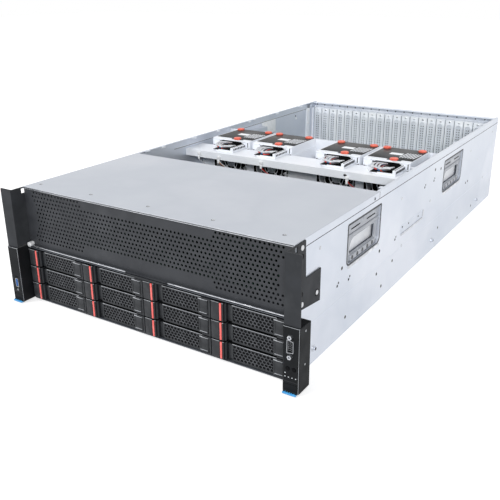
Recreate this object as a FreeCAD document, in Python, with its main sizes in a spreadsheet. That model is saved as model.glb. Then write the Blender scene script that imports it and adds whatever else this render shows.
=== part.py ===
"""A rack server four units high: drive bays in front, hot-plug fans in the middle, card slots at the rear.

+X is to the right seen from the front, +Y to the rear, +Z up, in millimetres. The origin is under the
middle of the bounding box, on the bottom face. "face" is the plane of the front ends of the side walls.
"""
import FreeCAD, Part
import math
import os
import re
import Sketcher

doc = FreeCAD.newDocument("gpu_server")

# Driving sizes
SIZES = {
    # chassis
    "chassis_depth": 898.5,
    "upper_height": 87.0,
    "front_reach": 30.0,
    "rear_reach": 16.0,
    "wall": 1.2,
    "play": 0.3,
    "skirt_drop": 10.4,
    "joggle": 1.4,
    "cover_depth": 238.5,
    "cover_play": 0.2,
    "cover_seam": 0.8,
    "hem_reach": 1.6,
    "hem_drop": 3.0,
    "fold_drop": 9.0,
    "seat": 0.1,
    "rail_flange": 5.0,
    "hook_length": 9.0,
    "hook_reach": 5.0,
    "hook_root": 0.5,
    "stud_radius": 3.0,
    "stud_length": 3.2,
    "stud_height": 20.0,
    # side handles
    "pocket_length": 106.0,
    "pocket_height": 54.0,
    "pocket_drop": 64.6,
    "pocket_depth": 17.0,
    "pocket_round": 9.0,
    "front_pocket": 140.0,
    "rear_pocket": 535.0,
    "pin_level": 35.6,
    "pin_inset": 4.6,
    "web_sheet": 1.6,
    "web_gap": 1.4,
    "web_slot_place": 14.0,
    "web_slot_pitch": 50.0,
    "web_slot_length": 29.0,
    "web_slot_rise": 5.4,
    "web_slot_height": 2.0,
    "handle_barrel": 2.7,
    "handle_plate": 2.2,
    "handle_arm": 9.0,
    "handle_play": 0.6,
    "handle_foot": 0.8,
    "handle_corner": 9.0,
    "window_gap": 1.6,
    "window_corner": 6.0,
    "window_arch": 12.0,
    "window_spring": 10.0,
    "grip_height": 8.5,
    "grip_thickness": 7.0,
    "grip_soft": 2.2,
    "hinge_pin": 1.5,
    "hinge_play": 0.2,
    "pin_reach": 0.8,
    # ears, boxes and what sits in them
    "ear_reach": 20.8,
    "flange_back": 22.6,
    "ear_sheet": 2.0,
    "ear_plate": 1.6,
    "deck_gap": 0.7,
    "ear_depth": 20.7,
    "ear_head": 1.0,
    "tab_depth": 61.0,
    "tab_height": 36.8,
    "tab_gap": 1.7,
    "tab_step": 12.0,
    "tab_drop": 6.0,
    "tab_curve": 2.5,
    "ear_slot_low": 10.0,
    "ear_slot_high": 3.0,
    "ear_slot_front": 6.0,
    "ear_slot_back": 1.5,
    "box_width": 21.6,
    "box_front": 26.5,
    "box_foot": 2.4,
    "box_wall": 1.6,
    "box_soft": 1.5,
    "latch_notch": 6.5,
    "latch_head": 13.5,
    "latch_pin": 1.0,
    "latch_play": 0.15,
    "latch_bearing": 0.7,
    "latch_axis_back": 2.0,
    "latch_axis_drop": 2.5,
    "latch_side": 0.4,
    "latch_top": 0.9,
    "latch_back": 3.4,
    "latch_sheet": 2.8,
    "lip_drop": 1.4,
    "lip_root": 2.4,
    "lip_edge": 1.6,
    "lip_rise": 3.2,
    "button_radius": 2.4,
    "button_reach": 0.6,
    "button_length": 6.2,
    "button_well": 8.0,
    "button_level": 33.4,
    "power_offset": 7.0,
    "locate_offset": 15.2,
    "video_level": 62.0,
    "video_length": 17.0,
    "video_width": 8.4,
    "video_taper": 1.3,
    "video_depth": 7.1,
    "video_reach": 1.2,
    "port_sheet": 0.5,
    "port_offset": 10.2,
    "screw_spread": 12.5,
    "post_length": 3.4,
    "post_radius": 2.9,
    "post_bore": 1.3,
    "usb_level": 31.0,
    "usb_length": 13.2,
    "usb_width": 5.8,
    "usb_depth": 12.9,
    "usb_reach": 0.4,
    "usb_tongue": 1.8,
    "port_play": 0.2,
    # front panel and tag
    "panel_sheet": 1.2,
    "panel_flange": 12.0,
    "lip_reach": 6.5,
    "panel_head": 0.3,
    "panel_edge": 0.3,
    "flange_foot": 12.0,
    "flange_head": 6.0,
    "vent_foot": 16.0,
    "vent_cell": 22.0,
    "vent_hole": 16.0,
    "vent_columns": 9,
    "vent_rows": 3,
    "tag_width": 70.0,
    "tag_shift": 5.0,
    "tag_length": 66.0,
    "tag_sheet": 1.2,
    "tag_taper": 14.0,
    "tag_grip_drop": 1.6,
    "tag_grip_depth": 2.4,
    "tag_grip_back": 0.2,
    # drive bays
    "bay_width": 108.6,
    "cage_side": 3.3,
    "bay_height": 26.4,
    "bay_foot": 3.4,
    "bay_depth": 160.0,
    "cage_sheet": 1.0,
    "cage_play": 0.2,
    "roof_play": 0.4,
    "cage_lip": 0.4,
    "divider_front": 4.0,
    "ledge_front": 8.0,
    "ledge_back": 6.0,
    "ledge_low": 1.6,
    "ledge_sheet": 1.1,
    "ledge_root": 0.4,
    "tray_front": 2.0,
    "front_gap": 0.7,
    "row_gap": 1.6,
    "block_reach": 9.0,
    "block_width": 20.5,
    "block_corner": 1.2,
    "block_slope": 2.4,
    "block_fall": 3.0,
    "stripe_place": 12.8,
    "stripe_width": 2.6,
    "stripe_sink": 1.6,
    "stripe_play": 0.05,
    "stripe_proud": 0.5,
    "stripe_end": 1.0,
    "rail_width": 2.0,
    "rail_height": 19.6,
    "rail_rise": 2.2,
    "rear_bar": 2.0,
    "rear_bar_height": 8.0,
    "ledge_width": 2.2,
    "drive_side": 3.5,
    "drive_length": 147.0,
    "drive_gap": 1.0,
    "drive_play": 0.2,
    "frame_sheet": 3.0,
    "frame_side": 8.0,
    "frame_edge": 4.0,
    "ear_thickness": 2.4,
    "bracket_width": 11.0,
    "bracket_front": 0.4,
    "bracket_root": 0.5,
    "cheek_width": 2.6,
    "lever_pin": 1.2,
    "lever_play": 0.15,
    "lever_gap": 0.5,
    "neck_length": 2.6,
    "neck_front": 1.0,
    "neck_back": 2.4,
    "knuckle_radius": 4.2,
    "pivot_inset": 9.6,
    "pivot_forward": 4.2,
    "lever_sheet": 4.0,
    "lever_front": 5.2,
    "step_width": 14.0,
    "step_depth": 2.6,
    "mesh_hole": 11.0,
    "mesh_side": 1.7,
    "mesh_end": 9.3,
    # fan wall
    "bridge_drop": 17.6,
    "bridge_front": 373.0,
    "bridge_lip": 12.6,
    "fan_wall_front": 425.0,
    "module_front": 429.0,
    "module_depth": 91.0,
    "module_width": 82.0,
    "module_drop": 4.0,
    "inner_middle": 65.5,
    "module_gap": 7.0,
    "window_width": 73.5,
    "window_height": 64.0,
    "duct_wall": 3.0,
    "blade_play": 1.4,
    "blade_root": 2.0,
    "blade_ends": 2.0,
    "blade_sweep": 9.0,
    "blade_chord": 2.0,
    "blade_bow": 1.4,
    "hub_radius": 17.0,
    "shaft_radius": 2.0,
    "shaft_play": 0.05,
    "rotor_length": 30.0,
    "rotor_front": 6.0,
    "stator_sheet": 5.0,
    "arm_width": 3.0,
    "shaft_root": 3.0,
    "shaft_tip": 2.0,
    "finger_left": 26.0,
    "finger_right": 2.0,
    "finger_depth": 14.0,
    "finger_rise": 4.2,
    "finger_head": 1.6,
    "tongue_reach": 45.0,
    "tongue_width": 56.0,
    "tongue_inset": 8.0,
    "tongue_corner": 24.0,
    "tongue_curve": 10.0,
    "tongue_step": 6.0,
    "tongue_sheet": 2.2,
    "rim_height": 6.0,
    "rim_width": 3.0,
    "cap_sheet": 2.0,
    "touch_radius": 4.4,
    "touch_height": 2.0,
    "touch_inset": 9.0,
    "touch_back": 8.0,
    "touch_place": 10.0,
    "touch_front": 7.0,
    "fan_back_drop": 1.0,
    "fan_side_drop": 0.4,
    # rear wall and what lies in front of it
    "slot_pitch": 20.32,
    "slot_side": 6.0,
    "slot_recess": 14.0,
    "slot_window": 13.0,
    "slot_sheet": 1.0,
    "slot_low": 8.0,
    "slot_high": 10.0,
    "slot_blade": 18.4,
    "blade_seat": 0.05,
    "neck_cut": 4.0,
    "neck_end": 9.0,
    "shelf_level": 46.0,
    "shelf_front": 545.0,
    "ledge_drop": 13.8,
    "rear_flange": 16.0,
    "bead_width": 10.0,
    "bead_reach": 1.0,
    "bead_low": 12.0,
    "bead_high": 9.0,
    "bead_round": 3.0,
    "power_width": 73.5,
    "power_height": 40.0,
    "power_length": 265.0,
    "power_lift": 1.4,
    "power_inset": 1.5,
    "divider_margin": 8.0,
    "outlet_radius": 15.0,
    "outlet_place": 19.0,
    "outlet_depth": 5.0,
    "inlet_place": 6.0,
    "inlet_width": 26.0,
    "inlet_height": 18.0,
    "inlet_depth": 15.0,
    "inlet_rise": 5.0,
    "pull_width": 4.0,
    "pull_sheet": 3.0,
    "pull_high": 31.0,
    "pull_bend": 26.0,
    "pull_low": 12.0,
    "pull_reach": 10.0,
    "pull_root": 1.0,
    # boards
    "board": 2.0,
    "standoff": 6.0,
    "main_width": 330.0,
    "main_front": 24.0,
    "main_depth": 300.0,
    "post_inset": 10.0,
    "foot_inset": 9.0,
    "foot_radius": 3.2,
    "board_seat": 0.2,
    "sink_width": 72.0,
    "sink_depth": 80.0,
    "sink_height": 46.0,
    "sink_base": 8.0,
    "sink_start": 110.0,
    "sink_apart": 34.0,
    "fin_count": 10,
    "fin_pitch": 7.9,
    "fin_sheet": 0.8,
    "memory_height": 31.0,
    "memory_length": 133.0,
    "memory_pitch": 9.4,
    "memory_sheet": 1.4,
    "memory_start": 84.0,
    "memory_edge": 8.0,
    "backplane_gap": 4.0,
    "backplane_edge": 6.0,
    "backplane_foot": 0.3,
    "socket_width": 40.0,
    "socket_height": 6.0,
    "socket_reach": 7.0,
    "expansion_side": 20.5,
    "expansion_depth": 320.0,
    "connector_length": 89.0,
    "connector_width": 7.5,
    "connector_height": 11.0,
    "connector_place": 150.0,
    "expansion_gap": 24.0,
    "root": 0.5,
}

# Sizes and places that follow from the driving sizes
FORMULAS = {
    "chassis_width": "4 * bay_width + 2 * cage_side",
    "chassis_height": "tray_top + upper_height",
    "half": "chassis_width / 2",
    "rack_half": "half + ear_reach",
    "face": "-(chassis_depth + rear_reach - front_reach) / 2",
    "rear": "face + chassis_depth",
    "inside": "half - wall",
    "seam": "chassis_height - skirt_drop",
    "upper_outside": "half - joggle",
    "upper_inside": "half - joggle - wall",
    "wall_top": "chassis_height - wall - cover_play",
    "pocket_low": "seam - pocket_drop",
    "cover_end": "face + cover_depth",
    "box_out": "half + box_width",
    "deck_level": "tray_floor + deck_gap",
    "tab_low": "deck_level + tab_gap",
    "tab_top": "tab_low + tab_height",
    "cell_left": "-2 * bay_width",
    "cage_top": "bay_foot + 3 * bay_height + roof_play",
    "cage_half": "2 * bay_width + cage_play",
    "tag_floor": "cage_top + cage_sheet",
    "tray_floor": "tag_floor + tag_sheet + 2 * play",
    "tray_top": "tray_floor + wall",
    "panel_low": "tray_floor",
    "face_width": "bay_width - 2 * front_gap",
    "face_height": "bay_height - row_gap",
    "face_low": "row_gap / 2",
    "pivot_x": "bay_width - pivot_inset",
    "bracket_left": "bay_width - front_gap - bracket_width - cheek_width",
    "bracket_right": "bracket_left + bracket_width",
    "lever_left": "front_gap + block_width + lever_gap",
    "lever_right": "bracket_left - neck_length",
    "mesh_left": "lever_left + step_width",
    "mesh_cell": "(lever_right - mesh_left - mesh_side - mesh_hole - mesh_end) / 2",
    "bridge_top": "chassis_height - bridge_drop",
    "module_top": "chassis_height - module_drop",
    "fan_tray": "module_top - cap_sheet - seat - module_width - wall - play",
    "pair_pitch": "module_width + module_gap",
    "fan_bore": "module_width / 2 - duct_wall",
    "blade_tip": "fan_bore - blade_play",
    "module_floor": "fan_tray + wall + play",
    "module_back": "module_front + module_depth",
    "fan_level": "module_floor + module_width / 2",
    "power_low": "wall + power_lift",
    "power_pitch": "power_width + wall + 2 * play",
    "cage_back": "module_back + play + wall",
    "ledge_level": "chassis_height - ledge_drop",
    "slot_wall": "rear - slot_recess",
    "slot_count": "floor((chassis_width - 2 * slot_side) / slot_pitch)",
    "expansion_width": "chassis_width - 2 * expansion_side",
    "recess_inner": "half - pocket_depth",
    "pin_x": "half - pin_inset",
    "pin_z": "pocket_low + pin_level",
    "latch_axis_y": "face - box_front + latch_axis_back",
    "latch_axis_z": "latch_head - latch_axis_drop",
    "board_level": "tray_top + standoff",
    "expansion_level": "shelf_level + standoff",
    "pan_floor": "wall + seat",
    "box_face": "face - box_front",
    "handle_low": "pocket_low + handle_foot",
    "grip_top": "handle_low + grip_height",
    "slot_inner": "slot_wall - wall - blade_seat",
    "blade_back": "slot_inner - slot_sheet",
    "hem_front": "face - panel_sheet - hem_reach",
    "drive_height": "bay_height - drive_gap",
    "drive_left": "drive_side",
    "drive_right": "bay_width - drive_side",
}

CARRIER_COLUMNS = 4
CARRIER_ROWS = 3
MEMORY_PER_BANK = 6
POWER_SUPPLIES = 4
BLADES = 7
STUD_PLACES = (51, 499, 785)
HOOK_PLACES = (256, 383, 600, 797)

# Corner radius of outlines of 8, 12 and 16 sides round a circle of radius 1
OCTAGON = "1.083"
TWELVE_SIDES = "1.036"
SIXTEEN_SIDES = "1.02"

sheet = doc.addObject("Spreadsheet::Sheet", "Sizes")
for row, (name, value) in enumerate(SIZES.items(), start=1):
    sheet.set("A%d" % row, name)
    sheet.set("B%d" % row, str(value))
    sheet.setAlias("B%d" % row, name)
doc.recompute()

TURNS = {
    "x": FreeCAD.Rotation(FreeCAD.Vector(0, 1, 0), 90),
    "y": FreeCAD.Rotation(FreeCAD.Vector(1, 0, 0), -90),
    "z": FreeCAD.Rotation(FreeCAD.Vector(0, 0, 1), 0),
}

nodes = []


# Helpers
def formula(text):
    """Spells out every size name in the text as a cell of the sheet."""
    def spell(match):
        word = match.group(0)
        if word == "floor":
            return word
        if word in FORMULAS:
            return "(" + formula(FORMULAS[word]) + ")"
        return "Sizes." + word
    return re.sub(r"[a-z][a-z_0-9]*", spell, str(text))


def bind(thing, place, text):
    thing.setExpression(place, formula(text))


def whole(text):
    """The whole number that a text comes to, for a loop over pieces."""
    return int(round(float(sheet.evalExpression(formula(text)))))


def place(thing, x="0", y="0", z="0"):
    """Binds the base point of a thing's placement."""
    bind(thing, "Placement.Base.x", x)
    bind(thing, "Placement.Base.y", y)
    bind(thing, "Placement.Base.z", z)
    return thing


def box(name, x, y, z):
    """A box between two limits on each axis, each limit a text."""
    solid = doc.addObject("Part::Box", name)
    for side, (low, high) in zip(("Length", "Width", "Height"), (x, y, z)):
        bind(solid, side, "(%s) - (%s)" % (high, low))
    return place(solid, x[0], y[0], z[0])


def cylinder(name, radius, length, at, along="z"):
    """A cylinder that starts at a point and runs along one axis."""
    solid = doc.addObject("Part::Cylinder", name)
    bind(solid, "Radius", radius)
    bind(solid, "Height", length)
    solid.Placement.Rotation = TURNS[along]
    return place(solid, *at)


def prism(name, sides, radius, length, at, along="z"):
    """A regular prism that starts at a point and runs along one axis."""
    solid = doc.addObject("Part::Prism", name)
    solid.Polygon = sides
    bind(solid, "Circumradius", radius)
    bind(solid, "Height", length)
    solid.Placement.Rotation = TURNS[along]
    return place(solid, *at)


def cut(name, base, tool):
    result = doc.addObject("Part::Cut", name)
    result.Base = base
    result.Tool = tool
    return result


def fuse(name, shapes):
    result = doc.addObject("Part::MultiFuse", name)
    result.Shapes = shapes
    return result


def group(name, shapes):
    """Separate solids kept side by side."""
    result = doc.addObject("Part::Compound", name)
    result.Links = shapes
    return result


def mirror(name, source, normal=(1, 0, 0)):
    result = doc.addObject("Part::Mirroring", name)
    result.Source = source
    result.Normal = FreeCAD.Vector(*normal)
    return result


def soften(kind, name, solid, size, along, side=None):
    """Chamfers or rounds a box's edges along one axis: all of them, or those at its low side on another."""
    doc.recompute()
    start = solid.Placement.Base
    chosen = [number for number, edge in enumerate(solid.Shape.Edges, start=1)
              if abs(getattr(edge.tangentAt(edge.FirstParameter), along)) > 0.9
              and (side is None or abs(getattr(edge.CenterOfMass, side) - getattr(start, side)) < 0.01)]
    feature = doc.addObject("Part::" + kind, name)
    feature.Base = solid
    feature.Edges = [(number, SIZES[size], SIZES[size]) for number in chosen]
    return feature


def copy(name, source, x="0", y="0", z="0"):
    """A copy of a finished shape, moved by three texts."""
    doc.recompute()
    twin = doc.addObject("Part::Feature", name)
    twin.Shape = source.Shape
    return place(twin, x, y, z)


def new_body(name):
    return doc.addObject("PartDesign::Body", name)


def origin_plane(body, role):
    return [feature for feature in body.Origin.OriginFeatures if feature.Role == role][0]


def polygon(body, name, role, offset, points):
    """A closed outline on one of the body's origin planes, each corner held by its two distances."""
    drawing = body.newObject("Sketcher::SketchObject", name)
    drawing.AttachmentSupport = [(origin_plane(body, role), "")]
    drawing.MapMode = "FlatFace"
    bind(drawing, "AttachmentOffset.Base.z", offset)
    count = len(points)
    turn = 2 * math.pi / count
    ring = [FreeCAD.Vector(100 * math.cos(turn * k), 100 * math.sin(turn * k), 0) for k in range(count)]
    for k in range(count):
        drawing.addGeometry(Part.LineSegment(ring[k], ring[(k + 1) % count]), False)
    for k in range(count):
        drawing.addConstraint(Sketcher.Constraint("Coincident", k, 2, (k + 1) % count, 1))
    for k, (across, along) in enumerate(points):
        for kind, text, axis in (("DistanceX", across, -2), ("DistanceY", along, -1)):
            if text == "0":
                drawing.addConstraint(Sketcher.Constraint("PointOnObject", k, 1, axis))
            else:
                index = drawing.addConstraint(Sketcher.Constraint(kind, -1, 1, k, 1, 10.0))
                bind(drawing, "Constraints[%d]" % index, text)
    return drawing


def ring_of(body, name, sides, radius):
    """A regular outline about the origin, on the body's XY plane."""
    corners = []
    for k in range(sides):
        turn = 2 * math.pi * (k + 0.5) / sides
        corners.append(("(%s) * (%.6f)" % (radius, math.cos(turn)),
                        "(%s) * (%.6f)" % (radius, math.sin(turn))))
    return polygon(body, name, "XY_Plane", "0", corners)


def pad(body, name, outline, length):
    """Raises an outline along its plane's normal."""
    feature = body.newObject("PartDesign::Pad", name)
    feature.Profile = outline
    bind(feature, "Length", length)
    body.Tip = feature
    return feature


def pocket(body, name, outline, length, both_ways=False):
    """Sinks an outline into the body, against its plane's normal."""
    feature = body.newObject("PartDesign::Pocket", name)
    feature.Profile = outline
    feature.Midplane = both_ways
    bind(feature, "Length", length)
    body.Tip = feature
    return feature


def row_of(body, name, originals, role, step, count):
    """Repeats features along one of the body's origin axes."""
    pattern = body.newObject("PartDesign::LinearPattern", name)
    pattern.Originals = originals
    pattern.Direction = (origin_plane(body, role), [""])
    pattern.Mode = "Spacing"
    bind(pattern, "Offset", step)
    bind(pattern, "Occurrences", count)
    body.Tip = pattern
    return pattern


def field(body, name, original, across, upward):
    """Repeats a feature over a grid in the XZ plane; each direction is its step and its count."""
    grid = body.newObject("PartDesign::MultiTransform", name + "_field")
    grid.Originals = [original]
    rows = []
    for axis, (step, count) in (("X_Axis", across), ("Z_Axis", upward)):
        line = body.newObject("PartDesign::LinearPattern", "%s_along_%s" % (name, axis[0].lower()))
        line.Direction = (origin_plane(body, axis), [""])
        line.Mode = "Spacing"
        bind(line, "Offset", step)
        bind(line, "Occurrences", count)
        rows.append(line)
    grid.Transformations = rows
    body.Tip = grid
    return grid


def keep(node, name):
    """Marks a finished shape as a node of the part."""
    node.Label = name
    nodes.append(node)
    return node


def mirrored(points):
    """Corners of the right half, followed by their mirror images."""
    return points + [("-(%s)" % x if x != "0" else "0", z) for x, z in reversed(points)]


def turned(limits, half):
    """Two limits on X for the right half, or their mirror image for the left one."""
    if half == "right":
        return limits
    return ["-(%s)" % text for text in reversed(limits)]


# Chassis pan: floor and walls in one bent sheet, with pressed handle recesses and rail studs
def make_pan():
    body = new_body("pan_sheet")
    outline = polygon(body, "pan_section", "XZ_Plane", "-(rear)", mirrored([
        ("half", "0"), ("half", "seam"), ("upper_outside", "seam"), ("upper_outside", "wall_top"),
        ("upper_inside", "wall_top"), ("upper_inside", "seam - wall"), ("inside", "seam - wall"),
        ("inside", "wall")]))
    pad(body, "pan_length", outline, "chassis_depth")
    added = [body]
    hollows = []
    for half in ("left", "right"):
        for end in ("front_pocket", "rear_pocket"):
            name = "%s_%s" % (end, half)
            low = "face + %s" % end
            high = "face + %s + pocket_length" % end
            outer = ["recess_inner", "inside + wall / 2"]
            inner = ["recess_inner + wall", "half + 1"]
            plate = ["pin_x - web_sheet / 2", "pin_x + web_sheet / 2"]
            outer, inner, plate = [turned(limits, half) for limits in (outer, inner, plate)]
            added.append(box("dish_" + name, outer, [low + " - wall", high + " + wall"],
                             ["pocket_low - wall", "pocket_low + pocket_height + wall"]))
            hollow = box("hollow_" + name, inner, [low, high], ["pocket_low", "pocket_low + pocket_height"])
            rounded = soften("Fillet", "rounded_" + name, hollow, "pocket_round", "x", "z")
            web = box("web_" + name, plate, [low, high],
                      ["pin_z + handle_barrel + web_gap", "pocket_low + pocket_height"])
            slots = []
            for slot in (0, 1):
                start = low + " + web_slot_place + %d * web_slot_pitch" % slot
                slots.append(box("web_slot_%s_%d" % (name, slot), [plate[0] + " - 1", plate[1] + " + 1"],
                                 [start, start + " + web_slot_length"],
                                 ["pin_z + web_slot_rise", "pin_z + web_slot_rise + web_slot_height"]))
            pins = prism("pin_way_" + name, 8, "hinge_pin * %s + hinge_play" % OCTAGON,
                         "pocket_length + 4 * wall",
                         (("-(pin_x)" if half == "left" else "pin_x"), low + " - 2 * wall", "pin_z"), "y")
            hollows.append((rounded, pins, cut("slotted_web_" + name, web, fuse("slots_" + name, slots))))
    dished = fuse("pan_with_dishes", added)
    opened = cut("pan_opened", dished, fuse("pan_hollows", [h[0] for h in hollows] + [h[1] for h in hollows]))
    studs = []
    for number, distance in enumerate(STUD_PLACES, start=1):
        for side, x in (("left", "-half - stud_length"), ("right", "half - wall / 2")):
            studs.append(cylinder("stud_%s_%d" % (side, number), "stud_radius", "stud_length + wall / 2",
                                  (x, "face + %d" % distance, "stud_height"), "x"))
    keep(fuse("pan_complete", [opened] + [h[2] for h in hollows] + studs), "chassis_pan")


# Folding carrying handles: a plate with a finger window, a thick grip and a barrel on two pins
def make_handles():
    for half in ("left", "right"):
        for end in ("front", "rear"):
            name = "%s_%s_handle" % (end, half)
            x = "-(pin_x)" if half == "left" else "pin_x"
            low = "face + %s_pocket" % end
            body = new_body(name + "_plate")
            left, right = low + " + handle_play", low + " + pocket_length - handle_play"
            outline = polygon(body, name + "_outline", "YZ_Plane", x + " - handle_plate / 2", [
                (left, "pin_z"), (left, "handle_low + handle_corner + 0.2"),
                (left + " + handle_corner", "handle_low"), (right + " - handle_corner", "handle_low"),
                (right, "handle_low + handle_corner + 0.2"), (right, "pin_z")])
            pad(body, name + "_sheet", outline, "handle_plate")
            top = "pin_z - handle_barrel - window_gap"
            window = polygon(body, name + "_window", "YZ_Plane", x, [
                (left + " + handle_arm", "grip_top"), (right + " - handle_arm", "grip_top"),
                (right + " - handle_arm", top + " - window_corner"),
                (right + " - handle_arm - window_corner", top),
                (left + " + handle_arm + window_arch", top),
                (left + " + handle_arm", top + " - window_spring")])
            pocket(body, name + "_window_cut", window, "4 * handle_plate", both_ways=True)
            barrel = prism(name + "_barrel", 8, "handle_barrel", "pocket_length - 2 * handle_play",
                           (x, left, "pin_z"), "y")
            pins = cylinder(name + "_pins", "hinge_pin", "pocket_length + 2 * pin_reach",
                            (x, low + " - pin_reach", "pin_z"), "y")
            grip = box(name + "_grip", [x + " - grip_thickness / 2", x + " + grip_thickness / 2"],
                       [left + " + handle_arm", right + " - handle_arm"], ["handle_low", "grip_top"])
            soft = soften("Chamfer", name + "_soft_grip", grip, "grip_soft", "y")
            keep(fuse(name + "_complete", [body, barrel, pins, soft]), name)


# Rear top rails: angled strips that close the joggled wall edges where there is no cover
def make_top_rails():
    body = new_body("rail_sheet")
    outline = polygon(body, "rail_section", "XZ_Plane", "-(rear)", [
        ("half", "seam"), ("half", "chassis_height"), ("half - rail_flange", "chassis_height"),
        ("half - rail_flange", "chassis_height - wall"), ("half - wall", "chassis_height - wall"),
        ("half - wall", "seam")])
    pad(body, "rail_length", outline, "chassis_depth - cover_depth - cover_seam")
    hooks = []
    for number, distance in enumerate(HOOK_PLACES, start=1):
        hooks.append(box("rail_hook_%d" % number,
                         ["half - rail_flange - hook_reach", "half - rail_flange + hook_root"],
                         ["face + %d" % distance, "face + %d + hook_length" % distance],
                         ["chassis_height - wall", "chassis_height"]))
    right = fuse("rail_right", [body] + hooks)
    keep(group("rails", [right, mirror("rail_left", right)]), "top_rails")


# Front cover: a shallow tray with side skirts, a hem at the front and a fold at the rear
def make_front_cover():
    body = new_body("cover_sheet")
    outline = polygon(body, "cover_section", "XZ_Plane", "-(cover_end)", [
        ("half - wall", "seam"), ("half", "seam"), ("half", "chassis_height"),
        ("-half", "chassis_height"), ("-half", "seam"), ("-(half - wall)", "seam"),
        ("-(half - wall)", "chassis_height - wall"), ("half - wall", "chassis_height - wall")])
    pad(body, "cover_length", outline, "cover_depth")
    hem = box("cover_hem", ["-half", "half"], ["hem_front", "face"],
              ["chassis_height - wall", "chassis_height"])
    drop = box("cover_drop", ["-half", "half"], ["hem_front", "face - panel_sheet - play"],
               ["chassis_height - hem_drop", "chassis_height"])
    fold = box("cover_fold", ["-(upper_inside) + play", "upper_inside - play"],
               ["cover_end - wall", "cover_end"],
               ["chassis_height - fold_drop", "chassis_height - wall / 2"])
    keep(fuse("cover_complete", [body, hem, drop, fold]), "front_cover")


# Rear panel: one folded sheet with a top flange, a recessed slot wall, and a shelf above the power supplies
def make_rear_panel():
    body = new_body("rear_sheet")
    edge = "upper_inside - play"
    outline = polygon(body, "rear_section", "YZ_Plane", "-(%s)" % edge, [
        ("rear", "pan_floor"), ("rear", "shelf_level"), ("slot_wall", "shelf_level"),
        ("slot_wall", "ledge_level - wall"), ("rear", "ledge_level - wall"), ("rear", "wall_top"),
        ("rear - rear_flange", "wall_top"), ("rear - rear_flange", "wall_top - wall"),
        ("rear - wall", "wall_top - wall"), ("rear - wall", "ledge_level"),
        ("slot_wall - wall", "ledge_level"), ("slot_wall - wall", "shelf_level"),
        ("face + shelf_front", "shelf_level"), ("face + shelf_front", "shelf_level - wall"),
        ("rear - wall", "shelf_level - wall"), ("rear - wall", "pan_floor")])
    pad(body, "rear_width", outline, "2 * (%s)" % edge)
    left = "-(slot_count - 1) / 2 * slot_pitch - slot_window / 2"
    right = "-(slot_count - 1) / 2 * slot_pitch + slot_window / 2"
    slot = polygon(body, "slot_opening", "XZ_Plane", "-(slot_wall)", [
        (left, "shelf_level + slot_low"), (right, "shelf_level + slot_low"),
        (right, "ledge_level - slot_high"), (left, "ledge_level - slot_high")])
    slot_cut = pocket(body, "slot_cut", slot, "6 * wall", both_ways=True)
    row_of(body, "slot_row", [slot_cut], "X_Axis", "slot_pitch", "slot_count")
    left = "-%.1f * power_pitch - power_width / 2 - play" % ((POWER_SUPPLIES - 1) / 2)
    right = left + " + power_width + 2 * play"
    bay = polygon(body, "power_opening", "XZ_Plane", "-(rear)", [
        (left, "power_low - play"), (right, "power_low - play"),
        (right, "power_low + power_height + play"), (left, "power_low + power_height + play")])
    bay_cut = pocket(body, "power_cut", bay, "6 * wall", both_ways=True)
    row_of(body, "power_row", [bay_cut], "X_Axis", "power_pitch", POWER_SUPPLIES)
    dividers = []
    for number in range(POWER_SUPPLIES + 1):
        middle = "(%d - %d / 2) * power_pitch" % (number, POWER_SUPPLIES)
        dividers.append(box("power_divider_%d" % number, [middle + " - wall / 2", middle + " + wall / 2"],
                            ["rear - power_length - divider_margin", "rear - wall / 2"],
                            ["pan_floor", "shelf_level - wall / 2"]))
    keep(fuse("rear_complete", [body] + dividers), "rear_panel")


# Slot covers: blades with a raised round-topped bead and a tab bent over the ledge
def make_slot_covers():
    body = new_body("blade_sheet")
    tab = "ledge_level + blade_seat"
    outline = polygon(body, "blade_section", "YZ_Plane", "-slot_blade / 2", [
        ("slot_inner", "shelf_level + slot_sheet"), ("slot_inner", tab), ("rear - wall - slot_sheet", tab),
        ("rear - wall - slot_sheet", tab + " + slot_sheet"), ("blade_back", tab + " + slot_sheet"),
        ("blade_back", "shelf_level + slot_sheet")])
    pad(body, "blade_width", outline, "slot_blade")
    neck_left, neck_right = "slot_blade / 2 - neck_cut", "slot_blade / 2 + neck_cut"
    corner = polygon(body, "blade_neck", "XZ_Plane", "-(slot_inner)", [
        (neck_left, "shelf_level"), (neck_right, "shelf_level"),
        (neck_right, "shelf_level + neck_end"), (neck_left, "shelf_level + neck_end")])
    pocket(body, "blade_neck_cut", corner, "4 * slot_sheet", both_ways=True)
    low, top = "shelf_level + bead_low", "ledge_level - bead_high"
    bead = polygon(body, "bead_outline", "XZ_Plane", "-(blade_back)", [
        ("-bead_width / 2", low), ("bead_width / 2", low),
        ("bead_width / 2", top + " - bead_round"), ("bead_width / 4", top),
        ("-bead_width / 4", top), ("-bead_width / 2", top + " - bead_round")])
    pad(body, "bead", bead, "bead_reach")
    blades = []
    for number in range(whole("slot_count")):
        blades.append(copy("slot_cover_%d" % (number + 1), body,
                           "(%d - (slot_count - 1) / 2) * slot_pitch" % number))
    keep(group("slot_cover_set", blades), "slot_covers")


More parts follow.
